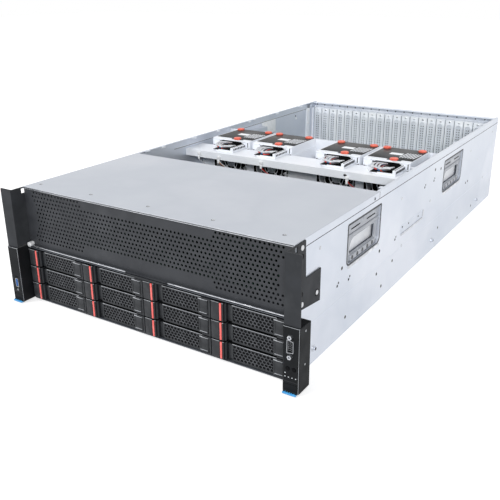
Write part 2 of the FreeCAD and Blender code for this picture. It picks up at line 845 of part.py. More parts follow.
# Drive cage: bay walls with guide ledges, and the board tray on top of it
def make_drive_cage():
    front = "face - lip_reach + cage_lip"
    back = "face + bay_depth"
    depth = [front, back]
    foot = "wall + play"
    height = [foot, "cage_top + cage_sheet"]
    plates = [
        box("cage_left", ["-(cage_half) - cage_sheet", "-(cage_half)"], depth, height),
        box("cage_right", ["cage_half", "cage_half + cage_sheet"], depth, height),
        box("cage_roof", ["-(cage_half)", "cage_half"], depth, ["cage_top", "cage_top + cage_sheet"]),
        box("cage_floor", ["-(cage_half)", "cage_half"], depth, [foot, foot + " + cage_sheet"]),
    ]
    for number in range(1, CARRIER_COLUMNS):
        middle = "cell_left + %d * bay_width" % number
        plates.append(box("cage_divider_%d" % number,
                          [middle + " - cage_sheet / 2", middle + " + cage_sheet / 2"],
                          ["face + divider_front", back], [foot, "cage_top + cage_sheet / 2"]))
    depth = ["face + ledge_front", back + " - ledge_back"]
    for column in range(CARRIER_COLUMNS):
        left = "cell_left + %d * bay_width" % column
        for level in range(CARRIER_ROWS):
            floor = "bay_foot + %d * bay_height" % level
            height = [floor + " + ledge_low", floor + " + ledge_low + ledge_sheet"]
            plates.append(box("ledge_left_%d_%d" % (column, level),
                              [left + " - ledge_root", left + " + cage_sheet / 2 + ledge_width"], depth,
                              height))
            plates.append(box("ledge_right_%d_%d" % (column, level),
                              [left + " + bay_width - cage_sheet / 2 - ledge_width",
                               left + " + bay_width + ledge_root"], depth, height))
    reach = "inside - play"
    plates.append(box("board_tray", ["-(%s)" % reach, reach],
                      ["face + tray_front", "face + bridge_front - cage_sheet"], ["tray_floor", "tray_top"]))
    for side, (low, high) in (("left", ("-(cage_half)", "tag_shift - tag_width / 2 - play")),
                              ("right", ("tag_shift + tag_width / 2 + play", "cage_half"))):
        plates.append(box("tray_spacer_" + side, [low, high], ["face + tray_front", back],
                          ["cage_top + cage_sheet / 2", "tray_top - wall / 2"]))
    keep(fuse("cage_complete", plates), "drive_cage")


# Vent panel: perforated sheet with side flanges and a forward lip along its foot
def make_vent_panel():
    body = new_body("vent_sheet")
    edge = "half - panel_edge"
    top = "chassis_height - wall - panel_head"
    outline = polygon(body, "vent_section", "YZ_Plane", "-(%s)" % edge, [
        ("face", "panel_low"), ("face", top),
        ("face - panel_sheet", top), ("face - panel_sheet", "panel_low + panel_sheet"),
        ("face - lip_reach", "panel_low + panel_sheet"), ("face - lip_reach", "panel_low")])
    pad(body, "vent_width", outline, "2 * (%s)" % edge)
    first = "-(vent_columns - 1) * vent_cell"
    low = "panel_low + vent_foot"
    fields = (("even", "0", "0", "vent_columns", "vent_rows"),
              ("odd", "vent_cell", "vent_cell / 2", "vent_columns - 1", "vent_rows - 1"))
    for name, shift, rise, count, levels in fields:
        x = first + " + " + shift
        z = low + " + " + rise
        hole = polygon(body, "vent_hole_" + name, "XZ_Plane", "-(face)", [
            (x + " - vent_hole / 2", z), (x, z + " - vent_hole / 2"), (x + " + vent_hole / 2", z),
            (x, z + " + vent_hole / 2")])
        hole_cut = pocket(body, "vent_cut_" + name, hole, "8 * panel_sheet", both_ways=True)
        field(body, "vent_" + name, hole_cut, ("2 * vent_cell", count), ("vent_cell", levels))
    flanges = []
    for half in ("left", "right"):
        flanges.append(box("vent_flange_" + half,
                           turned(["inside - seat - panel_sheet", "inside - seat"], half),
                           ["face - panel_sheet / 2", "face + panel_flange"],
                           ["panel_low + flange_foot", "seam - flange_head"]))
    keep(fuse("vent_complete", [body] + flanges), "vent_panel")


# Pull-out tag: a flat blade with a rounded finger edge that hangs under the lip
def make_tag():
    low, high = "tag_shift - tag_width / 2", "tag_shift + tag_width / 2"
    floor = "tag_floor + play"
    blade = box("tag_blade", [low, high], ["face - lip_reach", "face - lip_reach + tag_length"],
                [floor, floor + " + tag_sheet"])
    body = new_body("tag_grip")
    foot = floor + " - tag_grip_drop"
    outline = polygon(body, "tag_grip_outline", "XZ_Plane", "-(face - lip_reach + tag_grip_back)", [
        (low, floor + " + tag_sheet"), (low, floor), (low + " + tag_taper", foot),
        (high + " - tag_taper", foot), (high, floor), (high, floor + " + tag_sheet")])
    pad(body, "tag_grip_pad", outline, "tag_grip_depth")
    keep(fuse("tag_complete", [blade, body]), "pull_tag")


# Drive carrier: release block, frame, side rails, hinge bracket with its pin, and the drive in it
def make_carrier():
    low, high = "face_low", "face_low + face_height"
    left, right = "front_gap", "front_gap + face_width"
    body = new_body("carrier_block")
    stripe_left = left + " + stripe_place"
    stripe_right = left + " + stripe_place + stripe_width"
    outline = polygon(body, "block_outline", "XY_Plane", low, [
        (left, "0"), (left, "-block_reach + block_corner"), (left + " + block_corner", "-block_reach"),
        (stripe_left, "-block_reach"), (stripe_left, "-block_reach + stripe_sink"),
        (stripe_right, "-block_reach + stripe_sink"), (stripe_right, "-block_reach"),
        (left + " + block_width - block_slope", "-block_reach"),
        (left + " + block_width", "-block_reach + block_fall"), (left + " + block_width", "0")])
    pad(body, "block_height", outline, "face_height")
    frame = box("carrier_frame", [left, right], ["0", "frame_sheet"], [low, high])
    window = box("frame_window", [left + " + frame_side", right + " - frame_side"], ["-1", "frame_sheet + 1"],
                 [low + " + frame_edge", high + " - frame_edge"])
    pieces = [body, cut("open_frame", frame, window)]
    rail_low = "face_low + rail_rise"
    back = "drive_length + 2 * frame_sheet"
    near, far = "drive_play", "drive_play + rail_width"
    for side, limits in (("left", ["drive_left - %s" % text for text in ("(%s)" % far, near)]),
                         ("right", ["drive_right + %s" % text for text in (near, far)])):
        pieces.append(box("side_rail_" + side, limits, ["frame_sheet / 2", back],
                          [rail_low, rail_low + " + rail_height"]))
    pieces.append(box("rear_bar", ["drive_left - 2 * drive_play", "drive_right + 2 * drive_play"],
                      [back + " - rear_bar", back], [rail_low, rail_low + " + rear_bar_height"]))
    depth = ["-block_reach + bracket_front", "bracket_root"]
    for end, height in (("lower", [low, low + " + ear_thickness"]),
                        ("upper", [high + " - ear_thickness", high])):
        pieces.append(box("hinge_ear_" + end, ["bracket_left", "bracket_right"], depth, height))
    pieces.append(box("hinge_cheek", ["bracket_right", right], depth, [low, high]))
    pieces.append(cylinder("hinge_pin", "lever_pin", "face_height - ear_thickness",
                           ("pivot_x", "-pivot_forward", low + " + ear_thickness / 2")))
    frame_solid = fuse("carrier_body", pieces)
    stripe = box("release_stripe", [stripe_left + " + stripe_play", stripe_right + " - stripe_play"],
                 ["-block_reach - stripe_proud", "-block_reach + stripe_sink - stripe_play"],
                 [low + " + stripe_end", high + " - stripe_end"])
    drive = box("drive_block", ["drive_left", "drive_right"],
                ["frame_sheet + drive_play", "frame_sheet + drive_play + drive_length"],
                ["bay_height / 2 - drive_height / 2", "bay_height / 2 + drive_height / 2"])
    return group("carrier_master", [frame_solid, stripe, drive])


# Ejector lever: stepped plate with a field of diamond holes, a neck and a knuckle bored for the pin
def make_lever():
    low = "face_low"
    body = new_body("lever_plate")
    front, back = "-lever_front", "-lever_front + lever_sheet"
    outline = polygon(body, "lever_plan", "XY_Plane", low, [
        ("lever_left", "-lever_front + step_depth"), ("mesh_left", "-lever_front + step_depth"),
        ("mesh_left", front), ("lever_right", front), ("lever_right", back), ("lever_left", back)])
    pad(body, "lever_height", outline, "face_height")
    x = "mesh_left + mesh_hole / 2 + mesh_side"
    for name, shift, rise, count in (("upper", "0", "mesh_hole / 2", "3"),
                                     ("lower", "mesh_cell / 2", "-mesh_hole / 2", "2")):
        cx = x + " + " + shift
        cz = "bay_height / 2 + " + rise
        hole = polygon(body, "mesh_hole_" + name, "XZ_Plane", "lever_front", [
            (cx + " - mesh_hole / 2", cz), (cx, cz + " - mesh_hole / 2"), (cx + " + mesh_hole / 2", cz),
            (cx, cz + " + mesh_hole / 2")])
        hole_cut = pocket(body, "mesh_cut_" + name, hole, "6 * lever_sheet", both_ways=True)
        row_of(body, "mesh_row_" + name, [hole_cut], "X_Axis", "mesh_cell", count)
    neck_low = "face_low + ear_thickness + play"
    neck_high = "face_low + face_height - ear_thickness - play"
    neck = box("lever_neck", ["lever_right - root", "pivot_x - neck_front"],
               ["-pivot_forward - neck_front", "-pivot_forward + neck_back"], [neck_low, neck_high])
    knuckle = prism("lever_knuckle", 8, "knuckle_radius", "(%s) - (%s)" % (neck_high, neck_low),
                    ("pivot_x", "-pivot_forward", neck_low))
    bore = prism("lever_bore", 8, "lever_pin * %s + lever_play" % OCTAGON, "face_height",
                 ("pivot_x", "-pivot_forward", low))
    return cut("lever_master", fuse("lever_solid", [body, neck, knuckle]), bore)


def make_drives():
    carrier = make_carrier()
    lever = make_lever()
    for level in range(CARRIER_ROWS):
        for column in range(CARRIER_COLUMNS):
            number = level * CARRIER_COLUMNS + column + 1
            spot = ("cell_left + %d * bay_width" % column, "face", "bay_foot + %d * bay_height" % level)
            keep(copy("carrier_%02d" % number, carrier, *spot), "drive_carrier_%02d" % number)
            keep(copy("lever_%02d" % number, lever, *spot), "drive_lever_%02d" % number)


# Rack ears: a flange that stands out for the rack post and a plate along the wall with a long tab
def make_ears():
    body = new_body("ear_plate_sheet")
    front = "face - flange_back - ear_sheet"
    top = "chassis_height - ear_head"
    outline = polygon(body, "ear_plate_outline", "YZ_Plane", "half + seat", [
        (front, "tab_low"), ("face + tab_step", "tab_low"), ("face + tab_depth", "tab_low - tab_drop"),
        ("face + tab_depth", "tab_top"), ("face + ear_depth + tab_curve", "tab_top"),
        ("face + ear_depth", top), (front, top)])
    pad(body, "ear_plate_depth", outline, "ear_plate")
    slot_y = ["face - ear_slot_front", "face + ear_slot_back"]
    slot_z = ["chassis_height - ear_slot_low", "chassis_height - ear_slot_high"]
    slot = polygon(body, "ear_slot", "YZ_Plane", "half", [
        (slot_y[0], slot_z[0]), (slot_y[1], slot_z[0]), (slot_y[1], slot_z[1]), (slot_y[0], slot_z[1])])
    pocket(body, "ear_slot_cut", slot, "8 * ear_plate", both_ways=True)
    flange = box("ear_flange", ["half + seat", "rack_half"], [front, "face - flange_back"],
                 ["deck_level", "chassis_height - 2 * play"])
    right = fuse("ear_right", [body, flange])
    keep(right, "right_ear")
    keep(mirror("ear_left", right), "left_ear")


# Control boxes: housings on the walls below the ears, notched at the foot for the latch
def make_boxes():
    shell = box("box_shell", ["half + seat", "box_out"], ["box_face", "face - play"],
                ["box_foot", "deck_level"])
    soft = soften("Chamfer", "box_edges", shell, "box_soft", "z", "y")
    notch = box("latch_notch", ["half + box_wall", "box_out - box_wall"],
                ["box_face - 1", "box_face + latch_notch"],
                ["box_foot - 1", "latch_head"])
    pin_way = prism("latch_pin_way", 8, "latch_pin * %s + latch_play" % OCTAGON,
                    "box_width - 2 * latch_bearing",
                    ("half + latch_bearing", "latch_axis_y", "latch_axis_z"), "x")
    blank = cut("box_blank", soft, fuse("latch_room", [notch, pin_way]))
    holes = []
    for name, offset in (("power", "power_offset"), ("locate", "locate_offset")):
        holes.append(prism("button_way_" + name, 12, "button_radius * %s + play" % TWELVE_SIDES,
                           "button_well + 1",
                           ("half + " + offset, "box_face - 1", "button_level"), "y"))
    x = "half + port_offset"
    across = "(video_width / 2 + port_play)"
    upright = "(video_length / 2 + port_play)"
    holes.append(box("video_well", ["%s - %s" % (x, across), "%s + %s" % (x, across)],
                     ["box_face - 1", "box_face + video_depth - video_reach + seat"],
                     ["video_level - " + upright, "video_level + " + upright]))
    keep(cut("box_right", blank, fuse("box_right_holes", holes)), "right_control_box")
    across = "(usb_width / 2 + port_play / 2)"
    upright = "(usb_length / 2 + port_play)"
    usb = box("usb_well", ["-(%s) - %s" % (x, across), "-(%s) + %s" % (x, across)],
              ["box_face - 1", "box_face + usb_depth + seat"],
              ["usb_level - " + upright, "usb_level + " + upright])
    keep(cut("box_left", mirror("box_blank_left", blank), usb), "left_control_box")


# Front connectors: a D-shaped video shell between its two posts, and an upright USB shell with its tongue
def d_outline(x, narrower):
    """Corners of the D shape, its long edge to the left, drawn in all round by one text."""
    reach = "(video_width / 2 - %s)" % narrower
    tall = "(video_length / 2 - %s)" % narrower
    short = "(video_length / 2 - video_taper - %s)" % narrower
    return [(x + " - " + reach, "video_level - " + tall), (x + " + " + reach, "video_level - " + short),
            (x + " + " + reach, "video_level + " + short), (x + " - " + reach, "video_level + " + tall)]


def make_ports():
    x = "half + port_offset"
    body = new_body("video_shell")
    outline = polygon(body, "video_outline", "XZ_Plane", "-(box_face + video_depth - video_reach)",
                      d_outline(x, "0 * port_sheet"))
    pad(body, "video_shell_depth", outline, "video_depth")
    hollow = polygon(body, "video_hollow", "XZ_Plane", "-(box_face - video_reach)",
                     d_outline(x, "port_sheet"))
    pocket(body, "video_hollow_cut", hollow, "video_depth - 3 * port_sheet")
    pieces = [body]
    for name, sign in (("upper", "+"), ("lower", "-")):
        at = (x, "box_face - post_length", "video_level %s screw_spread" % sign)
        post = prism("post_" + name, 6, "post_radius", "post_length", at, "y")
        well = prism("post_well_" + name, 8, "post_bore", "post_length - port_sheet", at, "y")
        pieces.append(cut("screw_post_" + name, post, well))
    lx = "-(%s)" % x
    limits = [lx + " - usb_width / 2", lx + " + usb_width / 2"]
    shell = box("usb_shell", limits, ["box_face - usb_reach", "box_face + usb_depth - usb_reach"],
                ["usb_level - usb_length / 2", "usb_level + usb_length / 2"])
    inner = box("usb_hollow", [limits[0] + " + port_sheet", limits[1] + " - port_sheet"],
                ["box_face - 2 * usb_reach", "box_face + usb_depth - usb_reach - 2 * port_sheet"],
                ["usb_level - usb_length / 2 + port_sheet", "usb_level + usb_length / 2 - port_sheet"])
    tongue = box("usb_tongue", [limits[0] + " + 1.5 * port_sheet",
                                limits[0] + " + 1.5 * port_sheet + usb_tongue"],
                 ["box_face + 2 * port_sheet", "box_face + usb_depth - usb_reach - port_sheet"],
                 ["usb_level - usb_length / 2 + 2.5 * port_sheet",
                  "usb_level + usb_length / 2 - 2.5 * port_sheet"])
    pieces.append(fuse("usb_socket", [cut("usb_tube", shell, inner), tongue]))
    keep(group("ports", pieces), "front_ports")


# Rack latches: a lever in the notch at the foot of each box, with a forward finger lip
def make_latches():
    low, high = "box_foot - lip_drop", "latch_head - latch_top"
    back = "box_face + latch_back"
    front = "box_face + latch_back - latch_sheet"
    body = new_body("latch_lever")
    outline = polygon(body, "latch_section", "YZ_Plane", "half + box_wall + latch_side", [
        ("face - front_reach", low), (back, low), (back, high), (front, high), (front, low + " + lip_rise"),
        ("box_face", low + " + lip_root"), ("face - front_reach", low + " + lip_edge")])
    pad(body, "latch_width", outline, "box_width - 2 * (box_wall + latch_side)")
    pin = cylinder("latch_pin", "latch_pin", "box_width - 2 * (box_wall - play)",
                   ("half + box_wall - play", "latch_axis_y", "latch_axis_z"), "x")
    right = fuse("latch_right", [body, pin])
    keep(right, "right_latch")
    keep(mirror("latch_left", right), "left_latch")


def make_buttons():
    for name, offset in (("power", "power_offset"), ("locate", "locate_offset")):
        cap = prism(name + "_cap", 16, "button_radius", "button_length",
                    ("half + " + offset, "box_face - button_reach", "button_level"), "y")
        keep(cap, name + "_button")


# Fan bridge: a plate across the chassis with a deep front lip, resting on the fan wall
def make_bridge():
    body = new_body("bridge_sheet")
    edge = "inside - play"
    outline = polygon(body, "bridge_section", "YZ_Plane", "-(%s)" % edge, [
        ("face + bridge_front", "bridge_top - bridge_lip"), ("face + bridge_front", "bridge_top"),
        ("face + fan_wall_front + wall", "bridge_top"), ("face + fan_wall_front + wall", "bridge_top - wall"),
        ("face + bridge_front + wall", "bridge_top - wall"),
        ("face + bridge_front + wall", "bridge_top - bridge_lip")])
    pad(body, "bridge_width", outline, "2 * (%s)" % edge)
    keep(body, "fan_bridge")


# Fan cage: front and rear walls with windows, and partitions and trays that stand between them
def make_fan_cage():
    edge = "inside - play"
    top = "bridge_top - wall - seat"
    front = ["face + fan_wall_front", "face + fan_wall_front + wall"]
    back = ["face + cage_back - wall", "face + cage_back"]
    between = [front[1], back[0]]
    side_height = ["pan_floor", top + " - fan_side_drop"]
    walls = [box("fan_wall", ["-(%s)" % edge, edge], front, ["pan_floor", top]),
             box("fan_back", ["-(upper_inside) + play", "upper_inside - play"], back,
                 ["pan_floor", "module_top - fan_back_drop"])]
    windows = []
    parts = []
    lows = ("inner_middle - module_width / 2 - play - wall", "inner_middle + pair_pitch / 2 - wall / 2",
            "inner_middle + pair_pitch + module_width / 2 + play")
    for half in ("left", "right"):
        sign = "-" if half == "left" else ""
        for number, middle in enumerate(("inner_middle", "inner_middle + pair_pitch"), start=1):
            centre = "%s(%s)" % (sign, middle)
            windows.append(box("fan_window_%s_%d" % (half, number),
                               [centre + " - window_width / 2", centre + " + window_width / 2"],
                               [front[0] + " - 1", back[1] + " + 1"],
                               ["fan_level - window_height / 2", "fan_level + window_height / 2"]))
        for number, low in enumerate(lows, start=1):
            limits = turned([low, low + " + wall"], half)
            parts.append(box("fan_side_%s_%d" % (half, number), limits, between, side_height))
        for number, (low, high) in enumerate(zip(lows, lows[1:]), start=1):
            limits = turned([low + " + wall", high], half)
            parts.append(box("fan_tray_%s_%d" % (half, number), limits, between,
                             ["fan_tray", "fan_tray + wall"]))
    windows_shape = fuse("fan_windows", windows)
    opened = [cut("open_fan_wall", walls[0], windows_shape), cut("open_fan_back", walls[1], windows_shape)]
    keep(group("fan_cage_set", opened + parts), "fan_cage")


# Fan module: duct with a stator and shaft, black cap with touch points, and a tongue for the cable in front
def make_module():
    half = "module_width / 2"
    low, high = "module_floor", "module_top"
    duct = box("duct_block", ["-" + half, half], ["module_front", "module_back"],
               [low, high + " - cap_sheet"])
    bore = prism("duct_bore", 16, "fan_bore * %s" % SIXTEEN_SIDES, "module_depth + 2",
                 ("0", "module_front - 1", "fan_level"), "y")
    start = "module_front + rotor_front + rotor_length + play"
    stator = prism("stator_cup", 12, "hub_radius", "stator_sheet", ("0", start, "fan_level"), "y")
    shaft = cylinder("stator_shaft", "shaft_radius", "rotor_length + play + shaft_root",
                     ("0", "module_front + rotor_front - shaft_tip", "fan_level"), "y")
    depth = [start, start + " + stator_sheet"]
    arms = [box("stator_arm_across", ["-fan_bore", "fan_bore"], depth,
                ["fan_level - arm_width / 2", "fan_level + arm_width / 2"]),
            box("stator_arm_upright", ["-arm_width / 2", "arm_width / 2"], depth,
                ["fan_level - fan_bore", "fan_level + fan_bore"])]
    finger = box("finger_slot", ["-finger_left", "-finger_right"],
                 ["module_front - 1", "module_front + finger_depth"],
                 ["bridge_top + finger_rise", high + " - cap_sheet - finger_head"])
    housing = fuse("module_housing", [cut("duct_open", duct, fuse("duct_ways", [bore, finger])), stator,
                                      shaft] + arms)
    cap = box("cap_plate", ["-" + half, half], ["module_front", "module_back"], [high + " - cap_sheet", high])
    points = []
    for name, x, y in (("left", "-" + half + " + touch_inset", "module_back - touch_back"),
                       ("right", half + " - touch_inset", "module_back - touch_back"),
                       ("front", "touch_place", "module_front + touch_front")):
        points.append(prism("touch_" + name, 8, "touch_radius", "touch_height", (x, y, high)))
    body = new_body("tongue_plate")
    right = half + " - tongue_inset"
    left = right + " - tongue_width"
    tip = "module_front - tongue_reach"
    outline = polygon(body, "tongue_outline", "XY_Plane", "bridge_top + play", [
        (right, "module_front"), (left, "module_front"), (left, "module_front - tongue_reach / 2"),
        (left + " + tongue_curve", tip + " + tongue_step"), (left + " + tongue_corner", tip), (right, tip)])
    pad(body, "tongue_floor", outline, "tongue_sheet")
    rim = box("tongue_rim", [right + " - rim_width", right], [tip, "module_front"],
              ["bridge_top + play", "bridge_top + play + rim_height"])
    housing_all = fuse("module_frame", [housing, body, rim])
    return group("module_master", [housing_all, fuse("module_cap", [cap] + points)])


# Rotor: a hub with seven pitched blades on the shaft in front of the stator
def make_rotor():
    body = new_body("rotor_wheel")
    hub = ring_of(body, "hub_outline", 14, "hub_radius")
    pad(body, "hub", hub, "rotor_length")
    low, middle, high = "blade_ends", "rotor_length / 2", "rotor_length - blade_ends"
    blade = polygon(body, "blade_curve", "YZ_Plane", "hub_radius - blade_root", [
        ("-blade_sweep", low), ("-blade_sweep + blade_chord", low), ("blade_bow", middle + " - 1"),
        ("blade_sweep + root", high), ("blade_sweep + root - 1.5", high),
        ("blade_bow - 2", middle + " + 0.6")])
    wing = pad(body, "wing", blade, "blade_tip - hub_radius + 0.7 * blade_root")
    fan = body.newObject("PartDesign::PolarPattern", "wings")
    fan.Originals = [wing]
    fan.Axis = (origin_plane(body, "Z_Axis"), [""])
    fan.Angle = 360
    fan.Occurrences = BLADES
    body.Tip = fan
    hole = ring_of(body, "shaft_outline", 12, "(shaft_radius + shaft_play) * %s" % TWELVE_SIDES)
    pocket(body, "shaft_hole", hole, "3 * rotor_length", both_ways=True)
    doc.recompute()
    wheel = doc.addObject("Part::Feature", "rotor_turned")
    wheel.Shape = body.Shape
    wheel.Placement.Rotation = TURNS["y"]
    return place(wheel, "0", "module_front + rotor_front", "fan_level")


def make_fans():
    module = make_module()
    rotor = make_rotor()
    middles = ("-(inner_middle + pair_pitch)", "-inner_middle", "inner_middle", "inner_middle + pair_pitch")
    for number, middle in enumerate(middles, start=1):
        keep(copy("module_%d" % number, module, middle, "face"), "fan_module_%d" % number)
        spun = group("rotor_pose_%d" % number, [rotor])
        keep(copy("rotor_%d" % number, spun, middle, "face"), "fan_rotor_%d" % number)


# Power supplies: long boxes with an inlet socket, a fan outlet and a pull handle at the rear
def make_power_supplies():
    half = "power_width / 2"
    back = "rear - power_inset"
    low = "power_low"
    inlet_right = half + " - inlet_place"
    case = box("power_case", ["-" + half, half], [back + " - power_length", back],
               [low, low + " + power_height"])
    inlet = box("power_inlet", [inlet_right + " - inlet_width", inlet_right],
                [back + " - inlet_depth", back + " + 1"],
                [low + " + inlet_rise", low + " + inlet_rise + inlet_height"])
    outlet = prism("power_outlet", 8, "outlet_radius", "outlet_depth + 1",
                   ("-" + half + " + outlet_place", back + " - outlet_depth", low + " + power_height / 2"),
                   "y")
    hollow = cut("power_hollow", case, fuse("power_ways", [inlet, outlet]))
    grip = new_body("power_grip")
    start = back + " - pull_root"
    tip = "rear + rear_reach"
    foot = low + " + pull_low"
    outline = polygon(grip, "grip_outline", "YZ_Plane", "-pull_width / 2", [
        (start, low + " + pull_high"), (back + " + pull_reach", low + " + pull_high"),
        (tip, low + " + pull_bend"), (tip, foot), (tip + " - pull_sheet", foot),
        (tip + " - pull_sheet", low + " + pull_bend - pull_sheet / 2"),
        (back + " + pull_reach - root", low + " + pull_high - pull_sheet"),
        (start, low + " + pull_high - pull_sheet")])
    pad(grip, "grip_width", outline, "pull_width")
    master = fuse("power_master", [hollow, grip])
    for number in range(POWER_SUPPLIES):
        keep(copy("power_%d" % (number + 1), master,
                  "(%d - %.1f) * power_pitch" % (number, (POWER_SUPPLIES - 1) / 2)),
             "power_supply_%d" % (number + 1))


# Circuit boards: drive backplane, main board with sinks and memory, expansion board with card connectors
def feet(name, left, right, front, back, inset, foot):
    """Four hexagonal posts under the corners of a board."""
    corners = [(left + " + " + inset, front + " + " + inset), (right + " - " + inset, front + " + " + inset),
               (left + " + " + inset, back + " - " + inset), (right + " - " + inset, back + " - " + inset)]
    return [prism("%s_%d" % (name, number), 6, "foot_radius", "standoff + root", (x, y, foot))
            for number, (x, y) in enumerate(corners)]


def make_boards():
    pieces = []
    back = "face + bay_depth + backplane_gap"
    board = box("backplane_board", ["cell_left + backplane_edge", "-(cell_left) - backplane_edge"],
                [back, back + " + board"], ["wall + backplane_foot", "cage_top"])
    sockets = []
    for column in range(CARRIER_COLUMNS):
        for level in range(CARRIER_ROWS):
            x = "cell_left + %d * bay_width + bay_width / 2" % column
            z = "bay_foot + %d * bay_height + bay_height / 2" % level
            sockets.append(box("drive_socket_%d_%d" % (column, level),
                               [x + " - socket_width / 2", x + " + socket_width / 2"],
                               [back + " - socket_reach", back + " + root"],
                               [z + " - socket_height / 2", z + " + socket_height / 2"]))
    pieces.append(fuse("backplane", [board] + sockets))
    top = "board_level + board"
    front = "face + main_front"
    back = front + " + main_depth"
    left, right = "-main_width / 2", "main_width / 2"
    main = box("main_plate", [left, right], [front, back], ["board_level", top])
    pieces.append(fuse("main_board", [main] + feet("board_post", left, right, front, back, "post_inset",
                                                   "tray_top")))
    depth = [front + " + sink_start", front + " + sink_start + sink_depth"]
    for side, x in (("left", "-sink_width - sink_apart"), ("right", "sink_apart")):
        fins = [box("sink_base_" + side, [x, x + " + sink_width"], depth,
                    [top + " + board_seat", top + " + sink_base"])]
        for number in range(whole("fin_count")):
            fin = x + " + %d * fin_pitch" % number
            fins.append(box("fin_%s_%d" % (side, number), [fin, fin + " + fin_sheet"], depth,
                            [top + " + sink_base - 1", top + " + sink_height"]))
        pieces.append(fuse("sink_" + side, fins))
    depth = [front + " + memory_start", front + " + memory_start + memory_length"]
    banks = (("left", left + " + memory_edge"), ("middle", "-memory_pitch * (%d - 1) / 2" % MEMORY_PER_BANK),
             ("right", right + " - memory_edge - %d * memory_pitch" % (MEMORY_PER_BANK - 1)))
    for bank, first in banks:
        for number in range(MEMORY_PER_BANK):
            x = first + " + %d * memory_pitch" % number
            pieces.append(box("memory_%s_%d" % (bank, number),
                              [x + " - memory_sheet / 2", x + " + memory_sheet / 2"],
                              depth, [top + " + board_seat", top + " + memory_height"]))
    back = "slot_wall - wall - expansion_gap"
    front = back + " - expansion_depth"
    left, right = "-expansion_width / 2", "expansion_width / 2"
    carried = [box("expansion_plate", [left, right], [front, back],
                   ["expansion_level", "expansion_level + board"])]
    carried += feet("foot", left, right, front, back, "foot_inset", "shelf_level")
    start = back + " - connector_place"
    for number in range(0, whole("slot_count") - 1, 2):
        x = "(%d - (slot_count - 1) / 2) * slot_pitch" % number
        carried.append(box("card_connector_%d" % number,
                           [x + " - connector_width / 2", x + " + connector_width / 2"],
                           [start, start + " + connector_length"],
                           ["expansion_level + board - root", "expansion_level + board + connector_height"]))
    pieces.append(fuse("expansion_board", carried))
    keep(group("boards", pieces), "circuit_boards")



make_pan()
make_handles()
make_top_rails()
make_front_cover()
make_rear_panel()
make_slot_covers()
make_drive_cage()
make_vent_panel()
make_tag()
make_drives()
make_ears()
make_boxes()
make_ports()
make_latches()
make_buttons()
make_bridge()
make_fan_cage()
make_fans()
make_power_supplies()
make_boards()
doc.recompute()

# Every object is sound before anything is written
faults = [thing.Name for thing in doc.Objects if "Invalid" in thing.State or "Error" in thing.State]
if faults:
    raise RuntimeError("unsound: " + ", ".join(faults))
for node in nodes:
    if node.Shape.isNull() or not node.Shape.isValid():
        raise RuntimeError("%s has no valid shape" % node.Label)

os.makedirs("parts", exist_ok=True)
for node in nodes:
    node.Shape.exportStep("parts/%s.step" % node.Label)
print("%d nodes, %d solids" % (len(nodes), sum(len(node.Shape.Solids) for node in nodes)))
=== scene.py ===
# %% [markdown]
# # Dressing a rack server four units high
# The solids of this server come packed as a fixed frame: a pan, drive bays, fans, boards and power supplies.
# In this lesson we give that frame its looks. Each step adds one kind of piece or one finish, and says why it
# is made in that way. Everything is in the frame's own place and size, so nothing has to be fitted by eye.

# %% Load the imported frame
import math
import random

import bmesh
import bpy
from mathutils import Matrix, Vector


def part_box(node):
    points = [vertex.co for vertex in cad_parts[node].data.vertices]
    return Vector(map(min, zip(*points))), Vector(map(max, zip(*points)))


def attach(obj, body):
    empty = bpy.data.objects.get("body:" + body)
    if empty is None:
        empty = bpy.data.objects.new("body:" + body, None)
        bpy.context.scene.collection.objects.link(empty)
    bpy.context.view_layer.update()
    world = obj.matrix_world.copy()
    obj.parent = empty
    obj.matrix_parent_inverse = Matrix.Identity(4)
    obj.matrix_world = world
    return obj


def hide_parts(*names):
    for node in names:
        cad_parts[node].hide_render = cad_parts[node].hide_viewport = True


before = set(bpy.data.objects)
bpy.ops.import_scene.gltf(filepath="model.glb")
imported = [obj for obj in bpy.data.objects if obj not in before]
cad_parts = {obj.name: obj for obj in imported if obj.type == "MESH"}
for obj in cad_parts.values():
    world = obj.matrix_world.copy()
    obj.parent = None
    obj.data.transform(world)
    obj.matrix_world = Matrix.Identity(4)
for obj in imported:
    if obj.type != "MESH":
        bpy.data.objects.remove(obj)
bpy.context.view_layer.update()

# %% [markdown]
# A maker thinks of sheet metal in millimetres and Blender in metres. The places below are read from the
# frame where a node gives them: the face is the front of the side walls, and every distance along the
# server is taken from there, as on the drawings of such a chassis.

# %% Places shared by many pieces
MM = 0.001


def corners_mm(node):
    """The lowest and highest corner of a node, in millimetres."""
    low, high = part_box(node)
    return [value / MM for value in low], [value / MM for value in high]


pan_low, pan_high = corners_mm("chassis_pan")
FACE, REAR = pan_low[1], pan_high[1]
ON_FACE = (0, FACE, 0)
HALF = 220.5
HEIGHT = 174.0
BAY_WIDE, BAY_HIGH, BAY_FOOT = 108.6, 26.4, 3.4
BAYS = [(column, level) for level in range(3) for column in range(4)]
SIDES = (("right", 1), ("left", -1))
TO_RIGHT, TO_FRONT, TO_BACK, UP = (1, 0, 0), (0, -1, 0), (0, 1, 0), (0, 0, 1)
print("face at %.2f mm, rear at %.2f mm" % (FACE, REAR))

# %% [markdown]
# ## Stage, light and camera
# The server stands on a plain pale floor. To the camera the floor is white, and to the light it is a pale
# matt surface, so it still shows the soft shadow under the chassis. The world is even, and white where
# metal mirrors it. One soft sun from the left front lights the cover and the fronts of the black parts and
# leaves their right sides dark. A weaker one comes from where the photographer stood, so the walls and
# fans deep in the open chassis are not lost.

# %% Floor, world and suns
def empty_tree(holder):
    """The node tree of a material or world, with nothing in it."""
    holder.use_nodes = True
    holder.node_tree.nodes.clear()
    return holder.node_tree


